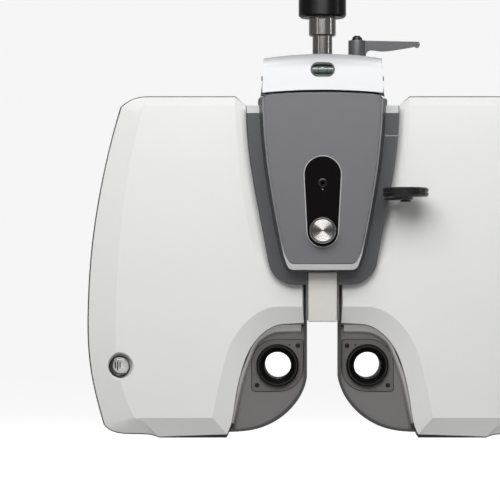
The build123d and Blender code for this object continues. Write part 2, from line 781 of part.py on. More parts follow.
with BuildPart() as cable_inlet:
    with BuildSketch(facing(rear_back + rear_wall)):
        with Locations((0, inlet_z)):
            Circle(inlet_radius)
            Circle(inlet_bore, mode=Mode.SUBTRACT)
    extrude(amount=-rear_wall - 3)
    with BuildSketch(facing(rear_back)):
        with Locations((0, inlet_z)):
            Circle(inlet_collar)
            Circle(inlet_bore, mode=Mode.SUBTRACT)
    extrude(amount=-3)
save(cable_inlet, "cable_inlet")


# Left lens chamber. Its outline is drawn once for the cover and once for the rear case.
left_side = [(-143.6, chamber_top - 7.8), (-150.6, chamber_top - 33.0),
             (-157.0, chamber_top - 61.6), (-164.8, eye_z + 76.0), (-166.7, eye_z + 42.4),
             (-166.7, eye_z + 18.8), (-164.2, eye_z - 5.9), (-159.9, eye_z - 25.6),
             (-155.4, eye_z - 41.8)]
eye_side = [(x - eye_x, z + eye_z) for x, z in (
    (-35.7, -49.5), (-33.9, -44.4), (-29.7, -22.0), (-26.5, -6.9), (-17.9, 14.5),
    (-11.5, 22.0), (-4.0, 27.3), (3.5, 29.5))]
hidden_side = [(-19.0, -215.5), (-26.5, -207.0), (-30.3, -191.0), (-35.7, -164.5),
               (-39.3, -142.0), (-42.3, chamber_top - 7.4)]
crease_side = [(-128.0, chamber_top - 12.4), (-135.4, chamber_top - 45.0),
               (-142.5, eye_z + 98.0), (-145.9, eye_z + 42.5), (-145.7, eye_z + 9.5),
               (-142.2, eye_z - 12.5), (-133.0, eye_z - 36.3)]
crease_eye = [(x - eye_x, z + eye_z) for x, z in (
    (-45.8, -36.8), (-44.4, -28.5), (-39.3, -4.8), (-35.1, 10.2), (-24.3, 28.4),
    (-9.3, 39.7), (-0.8, 41.8))]
nose_top = -216.4
crease_hidden = [(-30.0, -219.5), (-43.0, -213.0), (-51.2, -191.0), (-58.7, -146.5),
                 (-61.9, chamber_top - 10.2)]
eye_round = [(x - eye_x, z + eye_z) for x, z in (
    (19.3, -15.1), (10.0, -30.2), (-1.5, -39.5), (-13.1, -44.6), (-24.8, -46.7),
    (-34.6, -47.2))]


def chamber_shape(left, level, inner, eye=False):
    """Chamber outline, inset at its left side, its top and foot, and its inner edges.

    The white cover stops at the eye side, the rear case goes round the eye panel."""
    slant = 0.7 * inner
    with BuildSketch(Plane.XY) as shape:
        with BuildLine():
            top = Line((-61.9 - slant / 2, chamber_top - level), (-123.4, chamber_top - level))
            shoulder = Spline(top @ 1, (-135.4 + 0.6 * left, chamber_top - 2.2 - 0.8 * level),
                              (left_side[0][0] + left, left_side[0][1] - 0.5 * level))
            side = Spline(shoulder @ 1, *[(x + left, z) for x, z in left_side[1:]])
            corner = Spline(side @ 1, (-152.2 + 0.6 * left, chamber_foot + 6.2 + 0.8 * level),
                            (-139.2, chamber_foot + 2.6 + level),
                            (-116.3, chamber_foot + level))
            if eye:
                foot = Line(corner @ 1, (eye_round[-1][0] - 1.5, chamber_foot + level))
                step = Line(foot @ 1, (eye_round[-1][0] - inner / 4, eye_round[-1][1] + inner))
                cheek = Spline(step @ 1, *[(x - slant, z + slant) for x, z in eye_round[-2::-1]],
                               (-inner_edge - inner, eye_z - 8.1))
                nose_start = cheek @ 1
            else:
                foot = Line(corner @ 1, (eye_side[0][0] - inner, eye_side[0][1] + level))
                eye_edge = Spline(foot @ 1, *[(x - inner, z + inner / 2)
                                              for x, z in eye_side[1:5]],
                                  *[(x - slant, z + slant) for x, z in eye_side[5:]])
                edge_x = -inner_edge - nose_reveal - inner
                brow = Line(eye_edge @ 1, (edge_x, brow_z + inner))
                nose_start = brow @ 1
            nose = Line(nose_start, (nose_start.X, nose_top - inner))
            hidden = Spline(nose @ 1, *[(x - slant, z - slant) for x, z in hidden_side[:2]],
                            *[(x - inner, z) for x, z in hidden_side[2:-1]],
                            (hidden_side[-1][0] - inner, hidden_side[-1][1] - inner))
            ledge = Line(hidden @ 1, (-53.3 - slant / 2, chamber_top - 7.4 - inner))
            Line(ledge @ 1, top @ 0)
        make_face()
    return shape.sketch


def crease_shape():
    """Edge of the cover's flat main face, where the sloping facets begin."""
    with BuildSketch(Plane.XY) as shape:
        with BuildLine():
            top = Line((-62.3, chamber_top - 7.4), (-125.6, chamber_top - 7.4))
            shoulder = Spline(top @ 1, (-126.3, chamber_top - 9.2), crease_side[0])
            side = Spline(shoulder @ 1, *crease_side[1:])
            corner = Spline(side @ 1, (-132.0, eye_z - 36.9), (-129.0, crease_eye[0][1]))
            foot = Line(corner @ 1, crease_eye[0])
            eye = Spline(foot @ 1, *crease_eye[1:])
            edge_x = -inner_edge - nose_reveal - 1.0
            brow = Line(eye @ 1, (edge_x, crease_eye[-1][1]))
            nose = Line(brow @ 1, (edge_x, nose_top - 2.1))
            hidden = Spline(nose @ 1, *crease_hidden)
            ledge = Line(hidden @ 1, (-61.5, chamber_top - 8.1))
            Line(ledge @ 1, top @ 0)
        make_face()
    return shape.sketch


# White front cover: flat main face with sloping facets, hollow behind
with BuildPart() as cover_hollow:
    with BuildSketch(facing(cover_rim - shell_wall)):
        add(chamber_shape(edge_reveal, top_reveal, 0))
    with BuildSketch(facing(cover_face - shell_wall)):
        add(crease_shape())
    loft(ruled=True)
    with BuildSketch(facing(case_front)):
        add(chamber_shape(edge_reveal, top_reveal, 0))
    extrude(amount=cover_rim - shell_wall - case_front)
    with BuildSketch(facing(case_front)):
        add(chamber_shape(edge_reveal + shell_wall, top_reveal + shell_wall, shell_wall))
    extrude(amount=cover_face - case_front, mode=Mode.INTERSECT)

with BuildPart() as front_cover:
    with BuildSketch(facing(cover_rim)):
        add(chamber_shape(edge_reveal, top_reveal, 0))
    with BuildSketch(facing(cover_face)):
        add(crease_shape())
    loft(ruled=True)
    with BuildSketch(facing(case_front)):
        add(chamber_shape(edge_reveal, top_reveal, 0))
    extrude(amount=cover_rim - case_front)
    add(cover_hollow.part, mode=Mode.SUBTRACT)
    with BuildSketch(facing(case_front)):
        with Locations((align_x, align_z)):
            Circle(align_mouth + 1.5)
    extrude(amount=cover_rim - case_front + 1.5)
    with BuildSketch(facing(cover_face + 1)):
        with Locations((align_x, align_z)):
            Circle(align_mouth + 0.6)
    with BuildSketch(facing(cover_face - 4)):
        with Locations((align_x, align_z)):
            Circle(align_radius)
    loft(mode=Mode.SUBTRACT)
    with BuildSketch(facing(case_front)):
        with Locations((align_x, align_z)):
            Circle(align_radius)
    extrude(amount=cover_face - case_front, mode=Mode.SUBTRACT)
save_pair(front_cover, "front_cover")

# Rear case: deep shell with a chamfered back, holes for rails and screw in its inner wall,
# and the rear sight hole
with BuildPart() as rear_case:
    with BuildSketch(facing(case_front)):
        add(chamber_shape(0, 0, 0, eye=True))
    extrude(amount=case_back - case_front)
    chamfer(rear_case.faces().sort_by(Axis.Y)[-1].edges(), case_chamfer)
    with BuildSketch(facing(case_front)):
        add(chamber_shape(shell_wall, shell_wall, shell_wall, eye=True))
    extrude(amount=case_back + case_chamfer - case_front, mode=Mode.SUBTRACT)
    with BuildSketch(facing(case_back + case_chamfer)):
        add(chamber_shape(*3 * [shell_wall + case_chamfer], eye=True))
    extrude(amount=shell_wall - case_chamfer, mode=Mode.SUBTRACT)
    with BuildSketch(Plane.YZ.offset(-62)):
        for rail_z in rail_zs:
            with Locations((rail_y, rail_z)):
                Circle(rail_radius + 2.5)
        with Locations((rail_y, screw_z)):
            Circle(screw_radius + 2.5)
    extrude(amount=50, mode=Mode.SUBTRACT)
    with BuildSketch(facing(case_back + 5)):
        with Locations((-eye_x, eye_z)):
            Circle(sight_radius + 1.5)
    extrude(amount=-10, mode=Mode.SUBTRACT)
save_pair(rear_case, "rear_case")

# Eye panel: sunk flat floor with a hollow channel that rises to the cover's edge,
# broadest under the brow
pocket_foot = chamber_foot - 10.0


def pocket_shape(shift):
    """Space before the eye panel, its curved edge moved away from the cover."""
    with BuildSketch(Plane.XY) as shape:
        with BuildLine():
            eye = Spline(*[(x + shift, z - shift * 0.5) for x, z in eye_side[:4]],
                         *[(x + shift * 0.7, z - shift * drop) for (x, z), drop
                           in zip(eye_side[4:], (0.8, 0.8, 1.3, 1.7))])
            brow = Line(eye @ 1, (0, brow_z - 0.5 - shift * 1.8))
            Polyline(brow @ 1, (0, pocket_foot), ((eye @ 0).X, pocket_foot), eye @ 0)
        make_face()
    return shape.sketch


channel_steps = 4
channel_rise = case_front - seat_gap - panel_floor
with BuildPart() as eye_pocket:
    with BuildSketch(facing(cover_face)):
        add(pocket_shape(0.2))
    for step in range(channel_steps + 1):
        turn = radians(90 * step / channel_steps)
        with BuildSketch(facing(panel_floor + channel_rise * (1 - sin(turn)))):
            add(pocket_shape(0.3 + channel_width * (1 - cos(turn))))
    loft(ruled=True)

panel_inset = shell_wall + seat_gap
with BuildPart() as eye_panel:
    with BuildSketch(facing(panel_floor - panel_plate)):
        add(chamber_shape(panel_inset, panel_inset, panel_inset, eye=True))
        with BuildLine():
            eye = Spline(*[(x - 3.0, z + 1.2) for x, z in eye_side])
            brow = Line(eye @ 1, (0, brow_z + 1.2))
            Polyline(brow @ 1, (0, pocket_foot), ((eye @ 0).X, pocket_foot), eye @ 0)
        make_face(mode=Mode.INTERSECT)
    extrude(amount=channel_rise + panel_plate)
    add(eye_pocket.part, mode=Mode.SUBTRACT)
    with BuildSketch(facing(panel_floor - panel_plate)):
        with Locations((-eye_x, eye_z)):
            Circle(ring_radius + seat_gap)
    extrude(amount=panel_plate, mode=Mode.SUBTRACT)
save_pair(eye_panel, "eye_panel")

# Eye plate: two large and two small corners, two countersunk screws
with BuildPart() as eye_plate:
    with BuildSketch(facing(panel_floor)) as plate_face:
        with Locations((-eye_x, eye_z)):
            Rectangle(2 * plate_half, 2 * plate_half)
        for side, radius in ((-1, plate_bend), (1, plate_corner)):
            for end in (1, -1):
                corner = (-eye_x + end * side * plate_half, eye_z + end * plate_half)
                fillet(plate_face.vertices().sort_by_distance(corner)[0], radius)
    extrude(amount=plate_thickness)
    with BuildSketch(facing(panel_floor)):
        with Locations((-eye_x, eye_z)):
            Circle(ring_radius + seat_gap)
    extrude(amount=plate_thickness, mode=Mode.SUBTRACT)
    with BuildSketch(facing(panel_floor + plate_thickness - 0.4)):
        with Locations((-eye_x + 14.5, eye_z + 14.1), (-eye_x - 14.5, eye_z - 14.1)):
            Circle(1.3)
    extrude(amount=0.4, mode=Mode.SUBTRACT)
save_pair(eye_plate, "eye_plate")

# Aperture ring: black funnel round the sight hole, with its front window
sight_axis = Axis((-eye_x, 0, eye_z), (0, -1, 0))
sight_plane = Plane(origin=(-eye_x, 0, eye_z), x_dir=(0, -1, 0), z_dir=(1, 0, 0))
ring_back = panel_floor - panel_plate - 3.0
with BuildPart() as aperture_ring:
    with BuildSketch(sight_plane):
        with BuildLine():
            Polyline((ring_back, sight_radius + 1), (ring_back, ring_radius),
                     (ring_front - 1, ring_radius), (ring_front, ring_radius - 1),
                     (ring_front, ring_radius - 2), (panel_floor, sight_radius),
                     (ring_back + 2.2, sight_radius), (ring_back + 2.2, sight_radius + 1),
                     close=True)
        make_face()
    revolve(axis=sight_axis)
save_pair(aperture_ring, "aperture_ring")

with BuildPart() as front_window:
    with BuildSketch(facing(ring_back)):
        with Locations((-eye_x, eye_z)):
            Circle(sight_radius + 1 - running_gap)
    extrude(amount=2.0)
save_pair(front_window, "front_window")

# Rear eyepiece: sleeve in the case's hole and the face shield round it
with BuildPart() as face_shield:
    with BuildSketch(sight_plane):
        with BuildLine():
            sleeve_out = sight_radius + 1.5
            Polyline((case_back + 6, sight_radius), (case_back + 6, sleeve_out),
                     (case_back, sleeve_out), (case_back, sleeve_out + 3),
                     (shield_depth, sleeve_out + 3), (shield_depth, sight_radius), close=True)
        make_face()
    revolve(axis=sight_axis)
    with BuildSketch(facing(shield_depth)):
        with Locations((-eye_x, eye_z)):
            Circle(shield_radius)
        with Locations((-eye_x - 9, eye_z - 12)):
            Circle(shield_radius - 3)
        make_hull()
        with Locations((-eye_x, eye_z)):
            Circle(sight_radius, mode=Mode.SUBTRACT)
    extrude(amount=-shield_thickness)
save_pair(face_shield, "face_shield")

# Alignment window: mirror at the bottom of the cover's mouth
with BuildPart() as alignment_mirror:
    with BuildSketch(facing(case_front)):
        with Locations((align_x, align_z)):
            Circle(align_radius - running_gap)
    extrude(amount=2.0)
save_pair(alignment_mirror, "alignment_mirror")


# Lens discs, turning on one spindle, each driven by a pinion on its toothed hub
def gear_shape(teeth, turn):
    """Spur gear outline with straight flanks, turned by an angle in degrees."""
    pitch_radius = gear_module * teeth / 2
    tip = pitch_radius + 0.85 * gear_module
    root = pitch_radius - 1.15 * gear_module
    tooth = 360 / teeth
    points = []
    for index in range(teeth):
        middle = turn + index * tooth
        for share, radius in ((-0.30, root), (-0.11, tip), (0.11, tip), (0.30, root)):
            angle = radians(middle + share * tooth)
            points.append((radius * cos(angle), radius * sin(angle)))
    with BuildSketch(Plane.XY) as shape:
        with BuildLine():
            Polyline(*points, close=True)
        make_face()
    return shape.sketch


lens_pitch = hypot(-eye_x - hub_x, eye_z - hub_z)
lens_angle = degrees(atan2(eye_z - hub_z, -eye_x - hub_x))
drive_reach = gear_module * (gear_teeth + pinion_teeth) / 2
drive_x = hub_x + drive_reach * cos(radians(drive_angle))
drive_z = hub_z + drive_reach * sin(radians(drive_angle))
spindle_front = sphere_disc_front + gear_width + 2.0

with BuildPart() as spindle:
    with BuildSketch(facing(case_back + shell_wall)):
        with Locations((hub_x, hub_z)):
            Circle(hub_radius + 3)
    extrude(amount=2)
    with BuildSketch(facing(case_back + shell_wall)):
        with Locations((hub_x, hub_z)):
            Circle(hub_radius)
    extrude(amount=spindle_front - case_back - shell_wall)
save_pair(spindle, "spindle")

for disc_name, disc_front, gear_side in (("sphere", sphere_disc_front, 1),
                                         ("cylinder", cylinder_disc_front, -1)):
    disc_back = disc_front - disc_thickness
    gear_face = disc_front if gear_side > 0 else disc_back
    with BuildPart() as lens_disc:
        with BuildSketch(facing(disc_back)):
            with Locations((hub_x, hub_z)):
                Circle(disc_radius)
                with PolarLocations(lens_pitch, disc_holes, lens_angle):
                    Circle(lens_radius, mode=Mode.SUBTRACT)
        extrude(amount=disc_thickness)
        with BuildSketch(facing(disc_back + (disc_thickness - lens_thickness) / 2)):
            with Locations((hub_x, hub_z)):
                with PolarLocations(lens_pitch, disc_holes - 1, lens_angle + 360 / disc_holes,
                                    360 - 720 / disc_holes, endpoint=True):
                    Circle(lens_radius)
        extrude(amount=lens_thickness)
        with BuildSketch(facing(gear_face)):
            with Locations((hub_x, hub_z)):
                add(gear_shape(gear_teeth, drive_angle))
        extrude(amount=gear_side * gear_width)
        with BuildSketch(facing(disc_back - gear_width)):
            with Locations((hub_x, hub_z)):
                Circle(hub_radius + running_gap)
        extrude(amount=disc_thickness + 2 * gear_width, mode=Mode.SUBTRACT)
    save_pair(lens_disc, f"{disc_name}_disc")

    with BuildPart() as pinion:
        with BuildSketch(facing(gear_face + gear_side * joint_gap)):
            with Locations((drive_x, drive_z)):
                add(gear_shape(pinion_teeth, drive_angle + 180 + 180 / pinion_teeth))
        extrude(amount=gear_side * (gear_width - joint_gap))
    save_pair(pinion, f"{disc_name}_pinion")

    motor_near = gear_face + gear_side * (gear_width + joint_gap)
    motor_far = cover_face - shell_wall if gear_side > 0 else case_back + shell_wall
    with BuildPart() as disc_motor:
        with BuildSketch(facing(motor_near)):
            with Locations((drive_x, drive_z)):
                Circle(motor_radius)
        extrude(amount=motor_far - motor_near)
    save_pair(disc_motor, f"{disc_name}_motor")

# Carriage on the rails, and the bracket in the chamber whose arc slots ride on its pins
with BuildPart() as carriage:
    with BuildSketch(Plane.YZ.offset(carriage_x - carriage_half)):
        with Locations((rail_y, (carriage_top + carriage_bottom) / 2)):
            RectangleRounded(16, carriage_top - carriage_bottom, 3)
    extrude(amount=2 * carriage_half)
    with BuildSketch(Plane.YZ.offset(carriage_x - carriage_half)):
        for rail_z in rail_zs:
            with Locations((rail_y, rail_z)):
                Circle(rail_radius + running_gap)
        with Locations((rail_y, screw_z)):
            Circle(screw_radius + running_gap)
    extrude(amount=2 * carriage_half, mode=Mode.SUBTRACT)
    with BuildSketch(Plane.XY.offset(carriage_bottom - bracket_plate - joint_gap)):
        with Locations((carriage_x - guide_pin_reach, rail_y),
                       (carriage_x + guide_pin_reach, rail_y)):
            Circle(guide_pin_radius)
    extrude(amount=bracket_plate + joint_gap)
    with BuildSketch(Plane.XY.offset(carriage_top)):
        with Locations((carriage_x - guide_pin_reach, rail_y),
                       (carriage_x + guide_pin_reach, rail_y)):
            Circle(guide_pin_radius)
    extrude(amount=bracket_plate + joint_gap)
save_pair(carriage, "carriage")

bracket_low = carriage_bottom - joint_gap - bracket_plate
bracket_high = carriage_top + joint_gap + bracket_plate
bracket_back = case_back + shell_wall
with BuildPart() as swing_bracket:
    with BuildSketch(Plane.YZ.offset(carriage_x - carriage_half - bracket_margin)):
        with BuildLine():
            Polyline((-bracket_back, bracket_low), (-bracket_back, bracket_high),
                     (rail_y - 10, bracket_high), (rail_y - 10, bracket_high - bracket_plate),
                     (-bracket_back - bracket_plate, bracket_high - bracket_plate),
                     (-bracket_back - bracket_plate, bracket_low + bracket_plate),
                     (rail_y - 10, bracket_low + bracket_plate),
                     (rail_y - 10, bracket_low), close=True)
        make_face()
    extrude(amount=2 * (carriage_half + bracket_margin))
    for pin_x in (carriage_x - guide_pin_reach, carriage_x + guide_pin_reach):
        arm_x = pin_x + eye_x
        arm_y = rail_y + swing_depth
        slot_reach = hypot(arm_x, arm_y)
        slot_start = degrees(atan2(arm_y, arm_x)) - 7
        with BuildSketch(Plane.XY.offset(bracket_low)):
            slot_line = CenterArc((-eye_x, -swing_depth), slot_reach, slot_start, 8.5,
                                  mode=Mode.PRIVATE)
            SlotArc(slot_line, 2 * (guide_pin_radius + running_gap))
        extrude(amount=bracket_high - bracket_low, mode=Mode.SUBTRACT)
save_pair(swing_bracket, "swing_bracket")
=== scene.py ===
from math import asin, cos, pi, radians, sin

import bmesh
import bpy
from mathutils import Matrix, Vector


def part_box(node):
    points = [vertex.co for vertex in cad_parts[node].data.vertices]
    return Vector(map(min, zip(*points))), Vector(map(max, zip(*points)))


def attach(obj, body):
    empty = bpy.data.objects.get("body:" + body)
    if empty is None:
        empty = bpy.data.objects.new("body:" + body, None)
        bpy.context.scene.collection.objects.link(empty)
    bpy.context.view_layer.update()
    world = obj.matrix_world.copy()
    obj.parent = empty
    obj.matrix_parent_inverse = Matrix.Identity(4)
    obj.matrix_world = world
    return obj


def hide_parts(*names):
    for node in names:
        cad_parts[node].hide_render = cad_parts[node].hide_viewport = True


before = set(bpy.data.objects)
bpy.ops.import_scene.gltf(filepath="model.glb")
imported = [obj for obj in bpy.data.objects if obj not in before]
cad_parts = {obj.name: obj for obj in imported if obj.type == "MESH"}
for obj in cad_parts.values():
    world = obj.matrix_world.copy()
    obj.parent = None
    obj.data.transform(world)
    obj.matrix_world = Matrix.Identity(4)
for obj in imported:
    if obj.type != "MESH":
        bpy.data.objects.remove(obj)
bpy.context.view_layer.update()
mm = 0.001
white = (1.0, 1.0, 1.0, 1.0)
print("frame loaded:", len(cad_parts), "nodes")


# camera, lamps and room
view = {
    "place": (-10.6, -2018.0, -238.0),   # mm, level with the cover's middle
    "reach": 1970.0,                     # mm from the lens to the panel's plane
    "width": 350.0,                      # mm across the picture at that plane
    "middle": (-50.9, -203.0),           # mm, what stands in the picture's middle
    "sensor": 36.0,                      # mm
    "farthest": 50.0,                    # m
}
lamps = {
    # place and target in m, width and height in m, power in W
    "softFront": ((-0.1, -2.1, 0.68), (0.0, 0.0, -0.2), (1.2, 0.8), 5.4),
    "softTop": ((-0.05, -0.62, 0.27), (-0.02, 0.0, -0.11), (0.7, 0.4), 5.1),
    "stripLeft": ((-1.05, -1.05, -0.02), (0.0, 0.0, -0.08), (0.12, 0.7), 0.45),
    "stripRight": ((1.4, -0.3, -0.02), (0.0, 0.0, -0.05), (0.12, 0.7), 0.9),
    "softBack": ((0.3, 2.2, 0.8), (0.0, 0.0, -0.2), (1.4, 0.8), 14.0),
    "softLow": ((0.0, -1.2, -0.39), (0.0, 0.0, -0.22), (0.5, 0.12), 0.35),
}
room = {
    "floorLevel": -430.0,                # mm, below the hanging head
    "floorFront": -3.0,                  # m, where the sheet starts
    "halfWidth": 4.0,                    # m
    # m, how the sheet's edge moves on: along the floor, up the curve, straight up
    "sweep": ((0.0, 5.6, 0.0), (0.0, 0.45, 0.12), (0.0, 0.3, 0.35), (0.0, 0.1, 0.6), (0.0, 0.0, 3.0)),
    "floorTone": 0.35,
    "floorRough": 0.9,
    "floorShine": 0.1,
    "backGlow": 0.84,                    # what the camera sees of the paper beside its own light
    "mirrorGlow": 0.3,                   # and what bright metal mirrors of it
    "skyTop": 0.24,                      # light from above
    "skyLow": 0.08,                      # and from below
    "skySpan": (-0.7, 0.9),              # heights between which one turns into the other
    "skySeen": 0.92,                     # the sky as it looks straight or through glass
}


def placeCamera():
    lens = bpy.data.cameras.new("viewCamera")
    lens.sensor_width = view["sensor"]
    lens.lens = view["sensor"] * view["reach"] / view["width"]
    lens.shift_x = (view["middle"][0] - view["place"][0]) / view["width"]
    lens.shift_y = (view["middle"][1] - view["place"][2]) / view["width"]
    lens.clip_end = view["farthest"]
    camera = bpy.data.objects.new("viewCamera", lens)
    camera.location = [value * mm for value in view["place"]]
    camera.rotation_euler = (pi / 2, 0.0, 0.0)
    bpy.context.scene.collection.objects.link(camera)
    bpy.context.scene.camera = camera


def hangLamps():
    for name, (place, target, size, power) in lamps.items():
        data = bpy.data.lights.new(name, "AREA")
        data.shape = "RECTANGLE"
        data.size, data.size_y = size
        data.energy = power
        lamp = bpy.data.objects.new(name, data)
        lamp.location = place
        lamp.rotation_euler = (Vector(target) - Vector(place)).to_track_quat("-Z", "Y").to_euler()
        bpy.context.scene.collection.objects.link(lamp)


def fillInputs(tree, node, inputs):
    # each input gets its value, or a link from the socket given
    for label, value in inputs.items():
        if isinstance(value, bpy.types.NodeSocket):
            tree.links.new(value, node.inputs[label])
        else:
            node.inputs[label].default_value = value


def addNode(tree, kind, inputs=None, **settings):
    node = tree.nodes.new(kind)
    for label, value in settings.items():
        setattr(node, label, value)
    fillInputs(tree, node, inputs or {})
    return node


def addMath(tree, operation, first, second, **settings):
    settings["operation"] = operation
    return addNode(tree, "ShaderNodeMath", {0: first, 1: second}, **settings).outputs[0]


def rayKinds(tree):
    # 1 where something is seen straight or through glass, and 1 where metal mirrors it
    rays = addNode(tree, "ShaderNodeLightPath").outputs
    seen = addMath(tree, "MAXIMUM", rays["Is Camera Ray"], rays["Is Transmission Ray"])
    return seen, rays["Is Glossy Ray"]


def lightWorld():
    world = bpy.data.worlds.new("studio")
    bpy.context.scene.world = world
    world.use_nodes = True
    tree = world.node_tree
    tree.nodes.clear()
    coords = addNode(tree, "ShaderNodeTexCoord")
    split = addNode(tree, "ShaderNodeSeparateXYZ", {0: coords.outputs["Generated"]})
    low, high = room["skySpan"]
    level = addNode(tree, "ShaderNodeMapRange", {
        "Value": split.outputs["Z"], "From Min": low, "From Max": high,
        "To Min": room["skyLow"], "To Max": room["skyTop"]}, interpolation_type="SMOOTHSTEP")
    # seen straight or through glass, the room is as pale as the paper
    seen = rayKinds(tree)[0]
    strength = addNode(tree, "ShaderNodeMix", {
        "Factor": seen, 2: level.outputs["Result"], 3: room["skySeen"]})
    back = addNode(tree, "ShaderNodeBackground", {"Color": white, "Strength": strength.outputs[0]})
    addNode(tree, "ShaderNodeOutputWorld", {0: back.outputs[0]})


def pick(parts, kind):
    return [part for part in parts if isinstance(part, kind)]


def buildRoom():
    # one sheet: floor in front, swept up behind the head
    sweep = bmesh.new()
    edges = [sweep.edges.new([sweep.verts.new((x, room["floorFront"], room["floorLevel"] * mm))
                              for x in (-room["halfWidth"], room["halfWidth"])])]
    for move in room["sweep"]:
        made = bmesh.ops.extrude_edge_only(sweep, edges=edges)["geom"]
        bmesh.ops.translate(sweep, vec=move, verts=pick(made, bmesh.types.BMVert))
        # the next edge to move is the one that runs straight across
        edges = [e for e in pick(made, bmesh.types.BMEdge)
                 if (e.verts[0].co - e.verts[1].co).yz.length < 1e-6]
    bmesh.ops.recalc_face_normals(sweep, faces=sweep.faces)
    mesh = bpy.data.meshes.new("paleSweep")
    sweep.to_mesh(mesh)
    sweep.free()
    sheet = bpy.data.objects.new("paleSweep", mesh)
    bpy.context.scene.collection.objects.link(sheet)
    for face in mesh.polygons:
        face.use_smooth = True
    paper = bpy.data.materials.new("palePaper")
    paper.use_nodes = True
    tree = paper.node_tree
    seen, mirrored = rayKinds(tree)
    glow = addMath(tree, "ADD", addMath(tree, "MULTIPLY", seen, room["backGlow"]),
                   addMath(tree, "MULTIPLY", mirrored, room["mirrorGlow"]))
    shade = room["floorTone"]
    fillInputs(tree, tree.nodes["Principled BSDF"], {
        "Base Color": (shade, shade, shade, 1.0), "Roughness": room["floorRough"],
        "Specular IOR Level": room["floorShine"], "Emission Color": white, "Emission Strength": glow})
    mesh.materials.append(paper)


bpy.context.scene.view_settings.view_transform = "Standard"
placeCamera()
lightWorld()
buildRoom()
hangLamps()
print("camera, lights and floor placed")


# shared effects
effects = {
    "grainDetail": 2.0, "driftDetail": 3.0,      # of the fine texture's noise and of the slow one
    "rubHighlightSamples": 4,
    "dustFrom": 0.35,                            # how level a face is before dust lies on it
    "dustScale": 160.0, "dustDetail": 4.0,
    "lineDetail": 3.0,
}


def tone(red, green, blue):
    # a colour as a picture program shows it, 0 to 255
    values = [value / 255 for value in (red, green, blue)]
    linear = [value / 12.92 if value <= 0.04045 else ((value + 0.055) / 1.055) ** 2.4
              for value in values]
    return (*linear, 1.0)


def effectGroup(name, inputs, outputs):
    group = bpy.data.node_groups.new(name, "ShaderNodeTree")
    for label, value in inputs.items():
        socket = group.interface.new_socket(label, in_out="INPUT", socket_type="NodeSocketFloat")
        socket.default_value = value
    for label in outputs:
        group.interface.new_socket(label, in_out="OUTPUT", socket_type="NodeSocketFloat")
    start = group.nodes.new("NodeGroupInput")
    end = group.nodes.new("NodeGroupOutput")
    return group, start.outputs, end


def objectPlace(tree):
    return addNode(tree, "ShaderNodeTexCoord").outputs["Object"]


def mouldGrainGroup():
    # the fine sparked texture of moulded plastic, and a slow drift in its tone
    group, start, end = effectGroup("mouldGrain", {"Scale": 2500.0, "Drift Scale": 9.0},
                                    ("Height", "Drift"))
    place = objectPlace(group)
    fine = addNode(group, "ShaderNodeTexNoise", {
        "Vector": place, "Scale": start["Scale"], "Detail": effects["grainDetail"]})
    slow = addNode(group, "ShaderNodeTexNoise", {
        "Vector": place, "Scale": start["Drift Scale"], "Detail": effects["driftDetail"]})
    fillInputs(group, end, {"Height": fine.outputs["Fac"], "Drift": slow.outputs["Fac"]})
    return group


def edgeWearHighlightGroup():
    # where edges are worn, and where a highlight is painted along edges, a little brighter: the rounded
    # normal leaves the true one
    group, start, end = effectGroup("edgeWearHighlight", {"Radius": 0.0006, "Gain": 3.0}, ("Mask",))
    rounded = addNode(group, "ShaderNodeBevel", {"Radius": start["Radius"]},
                      samples=effects["rubHighlightSamples"])
    true = addNode(group, "ShaderNodeNewGeometry")
    match = addNode(group, "ShaderNodeVectorMath", {
        0: rounded.outputs["Normal"], 1: true.outputs["Normal"]}, operation="DOT_PRODUCT")
    gap = addMath(group, "SUBTRACT", 1.0, match.outputs["Value"])
    fillInputs(group, end, {"Mask": addMath(group, "MULTIPLY", gap, start["Gain"], use_clamp=True)})
    return group


def settledDustGroup():
    # a thin film on faces that look up
    group, start, end = effectGroup("settledDust", {"Amount": 0.1}, ("Mask",))
    true = addNode(group, "ShaderNodeNewGeometry")
    split = addNode(group, "ShaderNodeSeparateXYZ", {0: true.outputs["Normal"]})
    up = addNode(group, "ShaderNodeMapRange", {
        "Value": split.outputs["Z"], "From Min": effects["dustFrom"], "From Max": 1.0},
        interpolation_type="SMOOTHSTEP")
    specks = addNode(group, "ShaderNodeTexNoise", {
        "Vector": objectPlace(group), "Scale": effects["dustScale"], "Detail": effects["dustDetail"]})
    film = addMath(group, "MULTIPLY", up.outputs["Result"], specks.outputs["Fac"])
    fillInputs(group, end, {"Mask": addMath(group, "MULTIPLY", film, start["Amount"])})
    return group


alongLabels = ("Along X", "Along Y", "Along Z")


def brushLinesGroup():
    # fine tool lines, long across X, Y or Z by the stretch that each material gives
    group, start, end = effectGroup("brushLines", {label: 1.0 for label in alongLabels}, ("Height",))
    stretch = addNode(group, "ShaderNodeCombineXYZ", {axis: start["Along " + axis] for axis in "XYZ"})
    scaled = addNode(group, "ShaderNodeVectorMath", {0: objectPlace(group), 1: stretch.outputs[0]},
                     operation="MULTIPLY")
    lines = addNode(group, "ShaderNodeTexNoise", {
        "Vector": scaled.outputs[0], "Scale": 1.0, "Detail": effects["lineDetail"]})
    fillInputs(group, end, {"Height": lines.outputs["Fac"]})
    return group


def heightFadeGroup():
    # 0 above and 1 below a band of heights, in metres
    group, start, end = effectGroup("heightFade", {"High": 0.0, "Low": -1.0}, ("Mask",))
    split = addNode(group, "ShaderNodeSeparateXYZ", {0: objectPlace(group)})
    fade = addNode(group, "ShaderNodeMapRange", {
        "Value": split.outputs["Z"], "From Min": start["High"], "From Max": start["Low"]},
        interpolation_type="SMOOTHSTEP")
    fillInputs(group, end, {"Mask": fade.outputs["Result"]})
    return group


mouldGrain = mouldGrainGroup()
edgeWearHighlight = edgeWearHighlightGroup()
settledDust = settledDustGroup()
brushLines = brushLinesGroup()
heightFade = heightFadeGroup()


def useGroup(tree, group, values):
    return addNode(tree, "ShaderNodeGroup", values, node_tree=group).outputs


